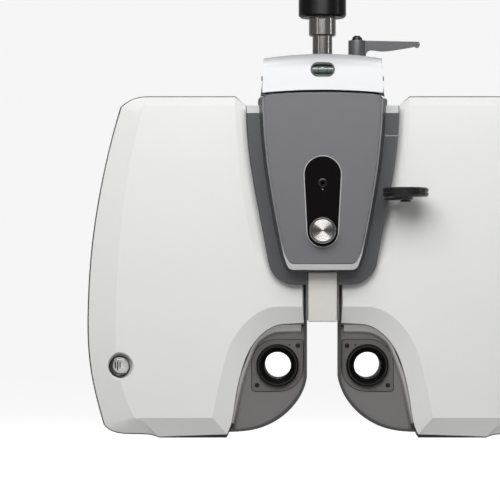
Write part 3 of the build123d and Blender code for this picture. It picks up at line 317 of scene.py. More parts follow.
def blendColour(tree, mask, first, second):
    mix = addNode(tree, "ShaderNodeMix", {"Factor": mask, 6: first, 7: second}, data_type="RGBA")
    return mix.outputs[2]


# finishes: tone is the colour, drift what it slowly turns to, rubHighlight the colour of worn edges and
# of the highlight painted along edges, and lowTone the colour below the heights of fade; lines is the
# stretch of brushed lines on X, Y, Z
plainLook = {
    # what a finish has where it says nothing else
    "dustTone": (200, 198, 194), "dust": 0.12,
    # width and strength of the edge mask, which shows worn edges and paints highlights along edges
    "rubHighlightWidth": 0.0006, "rubHighlightGain": 2.0,          # m, and how strongly rubbed edges show
    "grain": 2500.0, "driftScale": 140.0,        # scales of the fine texture and of the slow drift
    "bump": 0.15, "depth": 0.00005,              # depth in m
    "roughDrift": 0.04, "metal": 0.0, "shine": 0.5, "coat": 0.0, "coatRough": 0.1, "spun": 0.0,
}
looks = {
    # the cap's top is a darker grey that fades to white between -67 and -77 mm: painted shade on the
    # rounded top
    "capWhite": {
        "tone": (172, 175, 177), "drift": (169, 172, 174), "rubHighlight": (246, 246, 246),
        "lowTone": (229, 230, 231), "fade": (-67.0, -77.0), "rough": 0.45, "roughDrift": 0.01,
        "shine": 0.4, "dust": 0.02, "rubHighlightGain": 0.5, "grain": 700.0, "driftScale": 25.0, "bump": 0.02},
    "whiteShell": {
        "tone": (233, 233, 231), "drift": (230, 230, 228), "rubHighlight": (240, 240, 238), "rough": 0.3,
        "roughDrift": 0.004, "shine": 0.5, "dust": 0.03, "rubHighlightGain": 0.8, "grain": 700.0,
        "driftScale": 25.0, "bump": 0.02},
    "rearShell": {
        "tone": (64, 64, 66), "drift": (59, 59, 61), "rubHighlight": (96, 96, 97), "rough": 0.5, "bump": 0.25},
    "panelGrey": {
        "tone": (110, 110, 114), "drift": (107, 107, 111), "rubHighlight": (150, 151, 155), "rough": 0.4,
        "shine": 0.4, "dust": 0.03},
    "rimSilver": {
        "tone": (112, 112, 114), "drift": (106, 106, 108), "rubHighlight": (205, 205, 205),
        "lowTone": (184, 184, 185), "fade": (-196.0, -210.0), "rough": 0.4, "metal": 0.3},
    "casingGrey": {
        "tone": (76, 77, 80), "drift": (72, 73, 76), "rubHighlight": (150, 151, 153), "rough": 0.3,
        "roughDrift": 0.01, "shine": 0.7, "dust": 0.02, "driftScale": 60.0, "bump": 0.05},
    # pale colour of the strips painted as highlights on the window's opening and on the flange
    "highlightPale": {
        "tone": (206, 207, 208), "drift": (200, 201, 202), "rubHighlight": (226, 226, 226), "rough": 0.3,
        "metal": 0.1, "dust": 0.0},
    "barSilver": {
        "tone": (218, 214, 210), "drift": (213, 209, 205), "rubHighlight": (222, 220, 216), "rough": 0.42,
        "metal": 0.2, "bump": 0.1, "lines": (60.0, 60.0, 4200.0)},
    "windowBlack": {
        "tone": (13, 10, 12), "drift": (10, 8, 9), "rubHighlight": (40, 38, 40), "rough": 0.12, "shine": 0.25,
        "dust": 0.0},
    "lampGlass": {
        "tone": (18, 13, 13), "drift": (14, 10, 10), "rubHighlight": (34, 29, 30), "rough": 0.16, "coat": 0.2,
        "dust": 0.0},
    "pilotWhite": {
        "tone": (236, 232, 226), "drift": (226, 222, 216), "rubHighlight": (250, 250, 250), "rough": 0.2,
        "dust": 0.0},
    "knobSteel": {
        "tone": (170, 167, 164), "drift": (162, 159, 156), "rubHighlight": (230, 228, 226), "rough": 0.14,
        "metal": 1.0, "spun": 0.85, "dust": 0.0},
    "polishedSteel": {
        "tone": (184, 181, 178), "drift": (172, 169, 166), "rubHighlight": (225, 222, 218), "rough": 0.17,
        "metal": 1.0, "dust": 0.0, "bump": 0.06, "lines": (40.0, 40.0, 9000.0)},
    "plainSteel": {
        "tone": (150, 150, 150), "drift": (140, 140, 140), "rubHighlight": (200, 200, 200), "rough": 0.3,
        "metal": 1.0, "dust": 0.02},
    "socketBlack": {
        "tone": (12, 12, 14), "drift": (9, 9, 11), "rubHighlight": (40, 40, 42), "rough": 0.3, "shine": 0.35,
        "dust": 0.03, "bump": 0.12, "lines": (30.0, 30.0, 5000.0)},
    "leverGrey": {
        "tone": (86, 87, 89), "drift": (80, 81, 83), "rubHighlight": (150, 151, 153), "rough": 0.42,
        "metal": 0.2, "grain": 1800.0, "bump": 0.2},
    "screwBlack": {
        "tone": (18, 18, 20), "drift": (14, 14, 16), "rubHighlight": (90, 90, 92), "rough": 0.25, "dust": 0.0},
    "screwGrey": {
        "tone": (96, 95, 94), "drift": (80, 79, 78), "rubHighlight": (190, 188, 186), "rough": 0.2, "metal": 0.9,
        "dust": 0.0},
    "seamBlack": {
        "tone": (22, 21, 20), "drift": (18, 17, 16), "rubHighlight": (30, 29, 28), "rough": 0.6, "dust": 0.0},
    "stripGrey": {
        "tone": (112, 110, 108), "drift": (104, 102, 100), "rubHighlight": (150, 148, 146), "rough": 0.4,
        "dust": 0.0},
    "wheelBlack": {
        "tone": (14, 14, 15), "drift": (11, 11, 12), "rubHighlight": (60, 60, 62), "rough": 0.28, "dust": 0.02},
    "vialDark": {
        "tone": (84, 92, 89), "drift": (76, 84, 81), "rubHighlight": (170, 176, 173), "rough": 0.2, "coat": 0.5,
        "dust": 0.0},
    "bubbleBright": {
        "tone": (168, 190, 172), "drift": (150, 176, 156), "rubHighlight": (210, 224, 212), "rough": 0.08,
        "coat": 1.0, "dust": 0.0},
    "vialGreen": {
        "tone": (78, 92, 86), "drift": (68, 82, 76), "rubHighlight": (150, 160, 152), "rough": 0.06, "coat": 1.0,
        "coatRough": 0.02, "dust": 0.0},
    "castFrame": {
        "tone": (122, 123, 125), "drift": (106, 107, 109), "rubHighlight": (165, 166, 168), "rough": 0.46,
        "metal": 0.8, "grain": 1200.0, "bump": 0.4},
    "padSoft": {
        "tone": (58, 59, 62), "drift": (52, 53, 56), "rubHighlight": (80, 81, 84), "rough": 0.62,
        "grain": 1600.0, "bump": 0.3},
    "inletBlack": {
        "tone": (24, 24, 25), "drift": (20, 20, 21), "rubHighlight": (60, 60, 61), "rough": 0.45},
    "eyeGrey": {
        "tone": (124, 121, 121), "drift": (119, 116, 116), "rubHighlight": (160, 157, 157), "rough": 0.3,
        "roughDrift": 0.01, "metal": 0.6, "dust": 0.01, "driftScale": 60.0, "bump": 0.03},
    "rollGrey": {
        "tone": (204, 201, 199), "drift": (199, 196, 194), "rubHighlight": (214, 211, 209), "rough": 0.28,
        "roughDrift": 0.01, "metal": 0.4, "dust": 0.01, "driftScale": 60.0, "bump": 0.03},
    "plateGrey": {
        "tone": (98, 96, 94), "drift": (92, 90, 88), "rubHighlight": (132, 130, 128), "rough": 0.42,
        "dust": 0.02},
    "ringBlack": {
        "tone": (9, 8, 7), "drift": (6, 6, 5), "rubHighlight": (30, 29, 28), "rough": 0.4, "shine": 0.35,
        "dust": 0.0},
    "shieldBlack": {
        "tone": (30, 30, 32), "drift": (26, 26, 28), "rubHighlight": (60, 60, 62), "rough": 0.5},
    "mirrorSilver": {
        "tone": (60, 59, 57), "drift": (52, 51, 49), "rubHighlight": (190, 189, 187), "rough": 0.32,
        "metal": 0.7, "dust": 0.0},
    # pale colour of the reflection painted on the alignment mirror
    "mirrorReflectionPale": {
        "tone": (206, 205, 202), "drift": (168, 167, 164), "rubHighlight": (230, 230, 228), "rough": 0.2,
        "metal": 0.3, "dust": 0.0, "driftScale": 420.0},
    "discBlack": {
        "tone": (22, 22, 23), "drift": (18, 18, 19), "rubHighlight": (60, 60, 62), "rough": 0.5},
    "gearWhite": {
        "tone": (216, 212, 202), "drift": (208, 204, 194), "rubHighlight": (232, 228, 220), "rough": 0.45},
    "motorSteel": {
        "tone": (146, 147, 150), "drift": (134, 135, 138), "rubHighlight": (190, 191, 194), "rough": 0.34,
        "metal": 0.9},
}


def finishMaterial(name, look):
    look = {**plainLook, **look}
    material = bpy.data.materials.new(name)
    material.use_nodes = True
    tree = material.node_tree
    grain = useGroup(tree, mouldGrain, {"Scale": look["grain"], "Drift Scale": look["driftScale"]})
    colour = blendColour(tree, grain["Drift"], tone(*look["tone"]), tone(*look["drift"]))
    # below a band of heights the colour turns to lowTone: the rim's silver foot, and on the cap the
    # white under a top painted darker as shade
    if "lowTone" in look:
        high, low = look["fade"]
        fade = useGroup(tree, heightFade, {"High": high * mm, "Low": low * mm})
        colour = blendColour(tree, fade["Mask"], colour, tone(*look["lowTone"]))
    # edges take a lighter colour: light wear, and a painted highlight along every edge
    rubHighlight = useGroup(tree, edgeWearHighlight, {"Radius": look["rubHighlightWidth"], "Gain": look["rubHighlightGain"]})
    colour = blendColour(tree, rubHighlight["Mask"], colour, tone(*look["rubHighlight"]))
    dust = useGroup(tree, settledDust, {"Amount": look["dust"]})
    colour = blendColour(tree, dust["Mask"], colour, tone(*look["dustTone"]))
    height, gloss = grain["Height"], grain["Drift"]
    if "lines" in look:
        height = gloss = useGroup(tree, brushLines, dict(zip(alongLabels, look["lines"])))["Height"]
    rough = addNode(tree, "ShaderNodeMapRange", {
        "Value": gloss, "To Min": look["rough"] - look["roughDrift"],
        "To Max": look["rough"] + look["roughDrift"]})
    bump = addNode(tree, "ShaderNodeBump", {
        "Strength": look["bump"], "Distance": look["depth"], "Height": height})
    fillInputs(tree, tree.nodes["Principled BSDF"], {
        "Base Color": colour, "Roughness": rough.outputs["Result"], "Normal": bump.outputs["Normal"],
        "Metallic": look["metal"], "Coat Weight": look["coat"], "Coat Roughness": look["coatRough"],
        "Specular IOR Level": look["shine"], "Anisotropic": look["spun"]})
    return material


# glass: smear and driftScale are the scales of its faint unevenness in gloss and in tint
glass = {"ior": 1.46, "tint": (0.97, 0.985, 0.99, 1.0), "smear": 60.0, "driftScale": 30.0,
         "rough": 0.015}


def glassMaterial():
    material = bpy.data.materials.new("clearGlass")
    material.use_nodes = True
    tree = material.node_tree
    grain = useGroup(tree, mouldGrain, {"Scale": glass["smear"], "Drift Scale": glass["driftScale"]})
    colour = blendColour(tree, grain["Drift"], white, glass["tint"])
    rough = addNode(tree, "ShaderNodeMapRange", {
        "Value": grain["Height"], "To Min": 0.0, "To Max": glass["rough"]})
    fillInputs(tree, tree.nodes["Principled BSDF"], {
        "Transmission Weight": 1.0, "IOR": glass["ior"], "Base Color": colour,
        "Roughness": rough.outputs["Result"]})
    return material


materials = {name: finishMaterial(name, look) for name, look in looks.items()}
materials["clearGlass"] = glassMaterial()

# the finish of each CAD node, left and right ones by the name they share
nodeFinish = {
    "arm_socket": "socketBlack", "hanger_rod": "polishedSteel", "hanger_sleeve": "polishedSteel",
    "cross_pin": "plainSteel", "tilt_yoke": "castFrame", "clamp_lever": "leverGrey",
    "lever_screw": "screwGrey", "head_cap": "capWhite", "vial_bezel": "vialDark",
    "level_vial": "vialGreen", "front_panel": "panelGrey", "panel_rim": "rimSilver",
    "window_plate": "windowBlack", "near_lamp": "lampGlass", "centre_casing": "casingGrey",
    "nose_bar": "barSilver", "centre_frame": "castFrame", "guide_rails": "plainSteel",
    "pd_motor": "motorSteel", "rear_cover": "rearShell", "cable_inlet": "inletBlack",
    "level_wheel": "wheelBlack", "forehead_knob": "knobSteel", "forehead_arm": "plainSteel",
    "forehead_pad": "padSoft", "pd_screw": "plainSteel", "carriage": "castFrame",
    "front_cover": "whiteShell", "rear_case": "rearShell", "eye_panel": "eyeGrey",
    "eye_plate": "plateGrey", "aperture_ring": "ringBlack", "front_window": "clearGlass",
    "face_shield": "shieldBlack", "alignment_mirror": "mirrorSilver", "spindle": "plainSteel",
    "sphere_motor": "motorSteel", "cylinder_motor": "motorSteel", "swing_bracket": "castFrame",
    "sphere_disc": "discBlack", "cylinder_disc": "discBlack", "sphere_pinion": "gearWhite",
    "cylinder_pinion": "gearWhite",
}
# CAD nodes with rounded edges: width in mm, and segments
roundedNodes = {"clamp_lever": (0.9, 3), "front_panel": (0.3, 2), "nose_bar": (0.3, 2),
                "left_eye_plate": (0.3, 2), "right_eye_plate": (0.3, 2)}
rounding = {"weldWithin": 0.002, "sharperThan": 40}   # mm and degrees


def dressNodes():
    for name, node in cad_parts.items():
        finish = nodeFinish.get(name) or nodeFinish[name.split("_", 1)[1]]
        if not node.material_slots:
            node.data.materials.append(materials[finish])
        for slot in node.material_slots:
            slot.material = materials[finish]


def roundNodes():
    # CAD meshes keep doubled corners, so they are welded before their edges are rounded
    for name, (width, segments) in roundedNodes.items():
        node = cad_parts[name]
        weld = node.modifiers.new("weld", "WELD")
        weld.merge_threshold = rounding["weldWithin"] * mm
        bevel = node.modifiers.new("roundEdges", "BEVEL")
        bevel.width = width * mm
        bevel.segments = segments
        bevel.limit_method = "ANGLE"
        bevel.angle_limit = radians(rounding["sharperThan"])
        bevel.use_clamp_overlap = True


dressNodes()
roundNodes()
print("materials placed on", len(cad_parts), "nodes")


# new pieces, all sizes in mm
sharpFrom = 32   # degrees, where a turned or cut piece keeps its edges


def finishPiece(form, name, finish, body, smooth=True, sharp=None):
    bmesh.ops.recalc_face_normals(form, faces=form.faces)
    mesh = bpy.data.meshes.new(name)
    form.to_mesh(mesh)
    form.free()
    for face in mesh.polygons:
        face.use_smooth = smooth
    mesh.materials.append(materials[finish])
    piece = bpy.data.objects.new(name, mesh)
    bpy.context.scene.collection.objects.link(piece)
    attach(piece, body)
    if sharp:
        mesh.set_sharp_from_angle(angle=radians(sharp))
    return piece


def boxOf(name):
    # a node's middle and size, in m
    low, high = [Vector(corner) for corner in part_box(name)]
    return (low + high) / 2, high - low


def middleOf(name):
    return boxOf(name)[0] / mm


def joinForm(form, part):
    mesh = bpy.data.meshes.new("part")
    part.to_mesh(mesh)
    part.free()
    form.from_mesh(mesh)
    bpy.data.meshes.remove(mesh)


def turnedForm(profile, centre, face=0.0, along=(0.0, -1.0, 0.0), steps=64):
    # profile: (height over the face, radius), turned about the line along the axis through centre
    form = bmesh.new()
    axis = Vector(along).normalized()
    side = axis.orthogonal().normalized()
    centre = Vector(centre) * mm
    ring = [form.verts.new(centre + axis * ((face + rise) * mm) + side * (radius * mm))
            for rise, radius in profile]
    edges = [form.edges.new(pair) for pair in zip(ring, ring[1:])]
    bmesh.ops.spin(form, geom=ring + edges, cent=centre, axis=axis, dvec=(0.0, 0.0, 0.0), angle=2 * pi,
                   steps=steps, use_merge=True, use_duplicate=False)
    bmesh.ops.remove_doubles(form, verts=form.verts, dist=1e-7)
    return form


def addBlock(form, size, place):
    made = bmesh.ops.create_cube(form, size=1.0)["verts"]
    bmesh.ops.scale(form, vec=tuple(value * mm for value in size), verts=made)
    bmesh.ops.translate(form, vec=tuple(value * mm for value in place), verts=made)


def roundOff(form, edges, width, segments):
    bmesh.ops.bevel(form, geom=edges, offset=width * mm, offset_type="OFFSET", affect="EDGES",
                    segments=segments, profile=0.5, material=-1)


def runsDeep(edge):
    # an edge that leads from the front to the back
    return abs(edge.verts[0].co.y - edge.verts[1].co.y) > 1e-5


# forehead pad: a moulded foam cushion, crowned towards the forehead
pad = {
    "clear": 0.4,                        # how much narrower and lower than the space it has
    "cornerRound": 11.0, "cornerSteps": 6,
    "sideCuts": 3, "seamDepth": 0.9,     # the seam runs round the middle cut
    "crown": 2.2,
    "rings": ((2.2, 0.9), (3.4, 0.62), (3.6, 0.36), (3.2, 0.12)),   # inset, and share of the crown
    "fineness": 2,
}


def buildForeheadPad():
    middle, size = boxOf("forehead_pad")
    form = bmesh.new()
    bmesh.ops.create_cube(form, size=1.0)
    bmesh.ops.scale(form, vec=(size.x - pad["clear"] * mm, size.y - 2 * pad["crown"] * mm,
                               size.z - pad["clear"] * mm), verts=form.verts)
    roundOff(form, [e for e in form.edges if runsDeep(e)], pad["cornerRound"], pad["cornerSteps"])
    sides = [f for f in form.faces if abs(f.normal.y) < 0.1]
    around = {e for f in sides for e in f.edges if runsDeep(e)}
    bmesh.ops.subdivide_edges(form, edges=list(around), cuts=pad["sideCuts"], use_grid_fill=True)
    for vert in form.verts:
        if abs(vert.co.y) < 1e-6:
            vert.co.x *= 1 - pad["seamDepth"] * mm / (size.x / 2)
            vert.co.z *= 1 - pad["seamDepth"] * mm / (size.z / 2)
    for end in [f for f in form.faces if abs(f.normal.y) > 0.9]:
        for inset, share in pad["rings"]:
            bmesh.ops.inset_region(form, faces=[end], thickness=inset * mm, use_even_offset=True)
            bmesh.ops.translate(form, vec=end.normal * (pad["crown"] * mm * share * 0.5),
                                verts=end.verts)
    bmesh.ops.translate(form, vec=middle, verts=form.verts)
    piece = finishPiece(form, "foreheadCushion", "padSoft", "forehead_rest")
    soften = piece.modifiers.new("soften", "SUBSURF")
    soften.levels = soften.render_levels = pad["fineness"]
    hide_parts("forehead_pad")


buildForeheadPad()
print("forehead cushion built")


# forehead-rest knob: turned steel cap with a bright lip, a dark groove and a spun face
knob = {
    "radius": 9.4, "back": 50.6, "front": 58.0,
    # how far each point lies in from the end and in from the radius
    "backEdge": ((0.0, 9.4), (0.0, 1.2), (0.5, 0.4), (0.9, 0.1)),
    "frontEdge": ((0.9, 0.1), (0.45, 0.2), (0.1, 0.55), (0.1, 0.65), (1.8, 0.75), (1.8, 1.25),
                  (0.25, 1.4)),
    "faceIn": 1.75, "faceSink": 0.25,
    "ring": 0.32, "ridge": 0.045,        # the rings that the face is cut in: width and height
    "ridgeVary": 0.3, "ridgeBeat": 2.1,  # how much of a height changes, and how fast
    "steps": 144, "sharpFrom": 8,
}


def buildKnob():
    centre = middleOf("forehead_knob")
    out, front, back = knob["radius"], knob["front"], knob["back"]
    profile = [(back + along, out - inward) for along, inward in knob["backEdge"]]
    profile += [(front - along, out - inward) for along, inward in knob["frontEdge"]]
    # each ring of the face has an outward and an inward flank
    face, radius, flank = front - knob["faceSink"], out - knob["faceIn"], 0
    vary = knob["ridgeVary"]
    while radius > knob["ring"]:
        rise = knob["ridge"] * (1 - vary + vary * cos(knob["ridgeBeat"] * flank))
        profile.append((face + (rise if flank % 2 else 0.0), radius))
        radius -= knob["ring"] / 2
        flank += 1
    profile.append((face, 0.0))
    form = turnedForm(profile, (centre.x, 0.0, centre.z), steps=knob["steps"])
    piece = finishPiece(form, "spunKnob", "knobSteel", "forehead_knob", sharp=knob["sharpFrom"])
    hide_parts("forehead_knob")


buildKnob()
print("knob turned")


# front window: the lens and a pilot light before the dark plate
frontWindow = {
    "face": 49.9,
    "lensZ": -156.0, "lensSteps": 48,
    "lens": ((0.0, 0.0), (0.0, 1.2), (-0.25, 1.4), (-0.25, 1.9), (0.0, 2.1), (0.25, 2.5), (0.1, 2.9),
             (-0.4, 2.9)),
    "dotZ": -160.6, "dotSteps": 24,
    "dot": ((0.0, 0.0), (0.0, 0.3), (-0.15, 0.45), (-0.5, 0.45)),
}


def buildFrontLens():
    face = frontWindow["face"]
    lens = turnedForm(frontWindow["lens"], (0.0, 0.0, frontWindow["lensZ"]), face,
                      steps=frontWindow["lensSteps"])
    finishPiece(lens, "frontLens", "lampGlass", "head", sharp=sharpFrom)
    dot = turnedForm(frontWindow["dot"], (0.0, 0.0, frontWindow["dotZ"]), face,
                     steps=frontWindow["dotSteps"])
    finishPiece(dot, "pilotDot", "pilotWhite", "head")


buildFrontLens()


# window edge highlight: a pale line round the dark plate's opening, painted as the highlight on the
# opening's edge
windowEdgeHighlight = {"topZ": -150.2, "topRadius": 12.9, "footZ": -190.0, "footRadius": 10.8,
              "width": 0.4, "proud": 0.12, "arcSteps": 24}


def buildWindowEdgeHighlight():
    face = -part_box("front_panel")[0][1] / mm
    top, foot = windowEdgeHighlight["topRadius"], windowEdgeHighlight["footRadius"]
    # the sides lean, so the top's arc is more than a half turn and the foot's is less
    lean = asin((top - foot) / (windowEdgeHighlight["topZ"] - windowEdgeHighlight["footZ"]))
    arcs = ((windowEdgeHighlight["topZ"], top, -lean, pi + 2 * lean),
            (windowEdgeHighlight["footZ"], foot, pi + lean, pi - 2 * lean))
    form = bmesh.new()
    edges = []
    for outset in (0.0, windowEdgeHighlight["width"]):
        loop = []
        for middle, radius, start, sweep in arcs:
            for step in range(windowEdgeHighlight["arcSteps"] + 1):
                turn = start + sweep * step / windowEdgeHighlight["arcSteps"]
                reach = radius + outset
                place = Vector((reach * cos(turn), -face, middle + reach * sin(turn)))
                loop.append(form.verts.new(place * mm))
        edges += [form.edges.new(pair) for pair in zip(loop, loop[1:] + loop[:1])]
    rim = bmesh.ops.bridge_loops(form, edges=edges)["faces"]
    raised = bmesh.ops.extrude_face_region(form, geom=rim)["geom"]
    bmesh.ops.translate(form, vec=(0.0, -windowEdgeHighlight["proud"] * mm, 0.0),
                        verts=pick(raised, bmesh.types.BMVert))
    # a pale line standing in for the highlight on the opening's edge: painted highlight
    finishPiece(form, "windowEdgeHighlight", "highlightPale", "head", smooth=False)


buildWindowEdgeHighlight()
print("front window dressed")


# flange highlights: pale strips painted as the highlight along the casing flange's rounded top, and a
# pale line painted as the lit lip of the seam on its right
flangeHighlight = {"inner": 38.0, "outer": 53.5, "top": -101.0, "foot": -106.4, "depth": 36.5,
              "proud": 0.3, "seamZ": -122.4, "seamHigh": 0.35, "seamInset": 0.7, "round": 0.15}


def buildFlangeHighlights():
    inner, outer = flangeHighlight["inner"], flangeHighlight["outer"]
    top, foot = flangeHighlight["top"], flangeHighlight["foot"]
    strips = [(sign * inner, sign * outer, (top + foot) / 2, top - foot) for sign in (-1, 1)]
    strips.append((inner, outer - flangeHighlight["seamInset"], flangeHighlight["seamZ"], flangeHighlight["seamHigh"]))
    form = bmesh.new()
    for start, end, z, tall in strips:
        addBlock(form, (abs(end - start), 2 * flangeHighlight["proud"], tall),
                 ((start + end) / 2, -flangeHighlight["depth"], z))
    roundOff(form, form.edges[:], flangeHighlight["round"], 2)
    # pale strips standing in for the highlights of the flange's top and of its seam: painted highlight
    finishPiece(form, "flangeHighlights", "highlightPale", "head", smooth=False)


buildFlangeHighlights()


# bubble level: two index rings on the tube and the bubble between them
bubble = {
    "ringsAt": (-3.1, 3.1), "ringSteps": 48,
    "ring": ((-0.25, 3.2), (-0.25, 3.42), (0.25, 3.42), (0.25, 3.2)),
    "size": (2.3, 1.9, 1.2), "sides": 32,
    "place": (0.0, -1.6, 1.0),           # from the tube's middle
}


def buildBubble():
    middle = middleOf("level_vial")
    rings = bmesh.new()
    for across in bubble["ringsAt"]:
        joinForm(rings, turnedForm(bubble["ring"], (0.0, middle.y, middle.z), across,
                                   (1.0, 0.0, 0.0), bubble["ringSteps"]))
    finishPiece(rings, "indexRings", "screwBlack", "head", sharp=sharpFrom)
    air = bmesh.new()
    bmesh.ops.create_uvsphere(air, u_segments=bubble["sides"], v_segments=bubble["sides"] // 2,
                              radius=1.0)
    bmesh.ops.scale(air, vec=tuple(value * mm for value in bubble["size"]), verts=air.verts)
    bmesh.ops.translate(air, vec=(middle + Vector(bubble["place"])) * mm, verts=air.verts)
    finishPiece(air, "levelBubble", "bubbleBright", "head")


buildBubble()


# cap screws: small black heads at the cap's sides
capScrew = {
    "side": 41.9, "height": -82.0, "depth": 34.0, "steps": 24,
    "profile": ((-0.3, 0.0), (-0.3, 1.9), (0.72, 1.9), (1.2, 1.4), (1.2, 0.9), (0.3, 0.7), (0.3, 0.0)),
}


def buildCapScrews():
    form = bmesh.new()
    for sign in (-1, 1):
        joinForm(form, turnedForm(capScrew["profile"], (0.0, -capScrew["depth"], capScrew["height"]),
                                  capScrew["side"], (sign, 0.0, 0.0), capScrew["steps"]))
    finishPiece(form, "capScrews", "screwBlack", "head", sharp=sharpFrom)


buildCapScrews()
print("flange, level and cap dressed")


# low screw heads with a hollow, drawn for one radius and scaled to the others
screwHead = {"drawnRadius": 1.25, "sides": 24, "high": 0.35,
             "steps": ((0.25, -0.12), (0.35, 0.0), (0.15, 0.3))}   # inset, and how far it sinks


def addScrew(form, centre, radius, face, out=-1.0):
    # stands on the plane y = -face and points to the front, or to the back with out=1
    made = bmesh.ops.create_circle(form, cap_ends=True, segments=screwHead["sides"],
                                   radius=radius * mm)["verts"]
    bmesh.ops.rotate(form, cent=(0, 0, 0), matrix=Matrix.Rotation(pi / 2, 3, "X"), verts=made)
    bmesh.ops.translate(form, vec=(centre[0] * mm, -face * mm, centre[1] * mm), verts=made)
    disc = list({f for v in made for f in v.link_faces})
    raised = bmesh.ops.extrude_face_region(form, geom=disc)["geom"]
    bmesh.ops.translate(form, vec=(0.0, out * screwHead["high"] * mm, 0.0),
                        verts=pick(raised, bmesh.types.BMVert))
    lid = pick(raised, bmesh.types.BMFace)
    bmesh.ops.delete(form, geom=disc, context="FACES_ONLY")
    for inset, sink in screwHead["steps"]:
        bmesh.ops.inset_region(form, faces=lid, depth=0.0,
                               thickness=inset * mm * radius / screwHead["drawnRadius"])
        bmesh.ops.translate(form, vec=(0.0, -out * sink * mm, 0.0),
                            verts=list({v for f in lid for v in f.verts}))


# eye plates: two screws and a sight mark on each, and the dark line where it sits on the panel
eyePlate = {
    "face": 15.2,
    "screws": ((14.5, 14.1), (-14.5, -14.1)), "screwRadius": 1.7, "screwSink": 0.15,
    "markAt": (8.6, 14.6), "mark": ((0.12, 0.0), (0.12, 0.5), (-0.1, 0.7)), "markSteps": 20,
    "half": 18.2, "bend": 17.0, "corner": 2.0,   # the outline: two wide bends, two tight corners
    "seam": 0.55, "seamBack": 14.05, "seamHigh": 0.25, "seamWidth": 2.4, "bendSteps": 8,
}


def buildPlateScrews():
    for side, sign in (("left", -1), ("right", 1)):
        middle = middleOf(f"{side}_eye_plate")
        form = bmesh.new()
        for across, up in eyePlate["screws"]:
            addScrew(form, (middle.x - sign * across, middle.z + up), eyePlate["screwRadius"],
                     eyePlate["face"] - eyePlate["screwSink"])
        finishPiece(form, f"{side}PlateScrews", "ringBlack", f"{side}_chamber", sharp=sharpFrom)
        across, up = eyePlate["markAt"]
        mark = turnedForm(eyePlate["mark"], (middle.x - sign * across, 0.0, middle.z + up),
                          eyePlate["face"], steps=eyePlate["markSteps"])
        finishPiece(mark, f"{side}SightMark", "ringBlack", f"{side}_chamber")


def buildPlateSeams():
    spread, steps = eyePlate["half"] + eyePlate["seam"], eyePlate["bendSteps"]
    for side, sign in (("left", -1), ("right", 1)):
        middle = middleOf(f"{side}_eye_plate")
        form = bmesh.new()
        ring = []
        for across, up, start in ((1, 1, 0.0), (-1, 1, 0.5), (-1, -1, 1.0), (1, -1, 1.5)):
            radius = eyePlate["bend" if across != up else "corner"] + eyePlate["seam"]
            for step in range(steps + 1):
                turn = (start + step / (2 * steps)) * pi
                x = across * (spread - radius) + radius * cos(turn)
                z = up * (spread - radius) + radius * sin(turn)
                ring.append(form.verts.new(((middle.x - sign * x) * mm, -eyePlate["seamBack"] * mm,
                                            (middle.z + z) * mm)))
        plate = form.faces.new(ring)
        raised = bmesh.ops.extrude_face_region(form, geom=[plate])["geom"]
        lid = pick(raised, bmesh.types.BMFace)
        bmesh.ops.translate(form, vec=(0.0, -eyePlate["seamHigh"] * mm, 0.0),
                            verts=pick(raised, bmesh.types.BMVert))
        bmesh.ops.inset_region(form, faces=lid, thickness=eyePlate["seamWidth"] * mm,
                               use_even_offset=True)
        bmesh.ops.delete(form, geom=lid + [plate], context="FACES")
        finishPiece(form, f"{side}PlateSeam", "seamBlack", f"{side}_chamber", smooth=False)


buildPlateScrews()
buildPlateSeams()


# brow roll: the rounded bead along the cover's edge over each eye panel, broadest at the brow
browRoll = {
    # along the left chamber's edge: x, z, and how far a width of 1 goes towards the panel in x and z
    "edge": ((-65.0, -325.0, 0.6, -0.3), (-61.7, -306.5, 0.75, -0.38), (-58.5, -291.4, 0.9, -0.45),
             (-49.9, -270.0, 0.7, -0.7), (-43.5, -262.5, 0.6, -0.9), (-36.0, -257.2, 0.4, -1.4),
             (-28.5, -255.0, 0.15, -1.75), (-15.2, -254.7, 0.0, -1.75)),
    "gap": 0.5, "width": 3.4, "high": 4.3, "floor": 14.0, "sunk": 0.2,
    "arcSteps": 10, "edgeSteps": 64,
}


def alongEdge(share):
    # a smooth curve through the edge's points
    points = browRoll["edge"]
    spot = share * (len(points) - 1)
    index = min(int(spot), len(points) - 2)
    part = spot - index
    four = [points[min(max(index + step, 0), len(points) - 1)] for step in (-1, 0, 1, 2)]
    return [0.5 * (2 * b + (c - a) * part + (2 * a - 5 * b + 4 * c - d) * part ** 2
                   + (3 * b - a - 3 * c + d) * part ** 3) for a, b, c, d in zip(*four)]


def buildBrowRolls():
    width, high, foot = browRoll["width"], browRoll["high"], -browRoll["sunk"]
    steps = browRoll["arcSteps"]
    turns = [step * pi / (2 * steps) for step in range(steps + 1)]
    section = [(width * sin(turn), high * cos(turn)) for turn in turns]
    section += [(width, foot), (0.0, foot), (0.0, high)]
    for side, sign in (("left", -1), ("right", 1)):
        form = bmesh.new()
        bmesh.ops.create_grid(form, x_segments=browRoll["edgeSteps"], y_segments=len(section) - 1,
                              size=1.0)
        for vert in form.verts:
            x, z, towardsX, towardsZ = alongEdge((vert.co.x + 1) / 2)
            across, rise = section[round((vert.co.y + 1) / 2 * (len(section) - 1))]
            reach = browRoll["gap"] + across
            vert.co = Vector((-sign * (x + towardsX * reach), -(browRoll["floor"] + rise),
                              z + towardsZ * reach)) * mm
        bmesh.ops.remove_doubles(form, verts=form.verts, dist=1e-7)
        finishPiece(form, f"{side}BrowRoll", "rollGrey", f"{side}_chamber", sharp=sharpFrom)


buildBrowRolls()
print("eye panels dressed")


# strips behind the nose bar's edges
barStrip = {"inner": 9.6, "outer": 11.6, "depth": 34.2, "thick": 0.8, "shorter": 2, "round": 0.2}


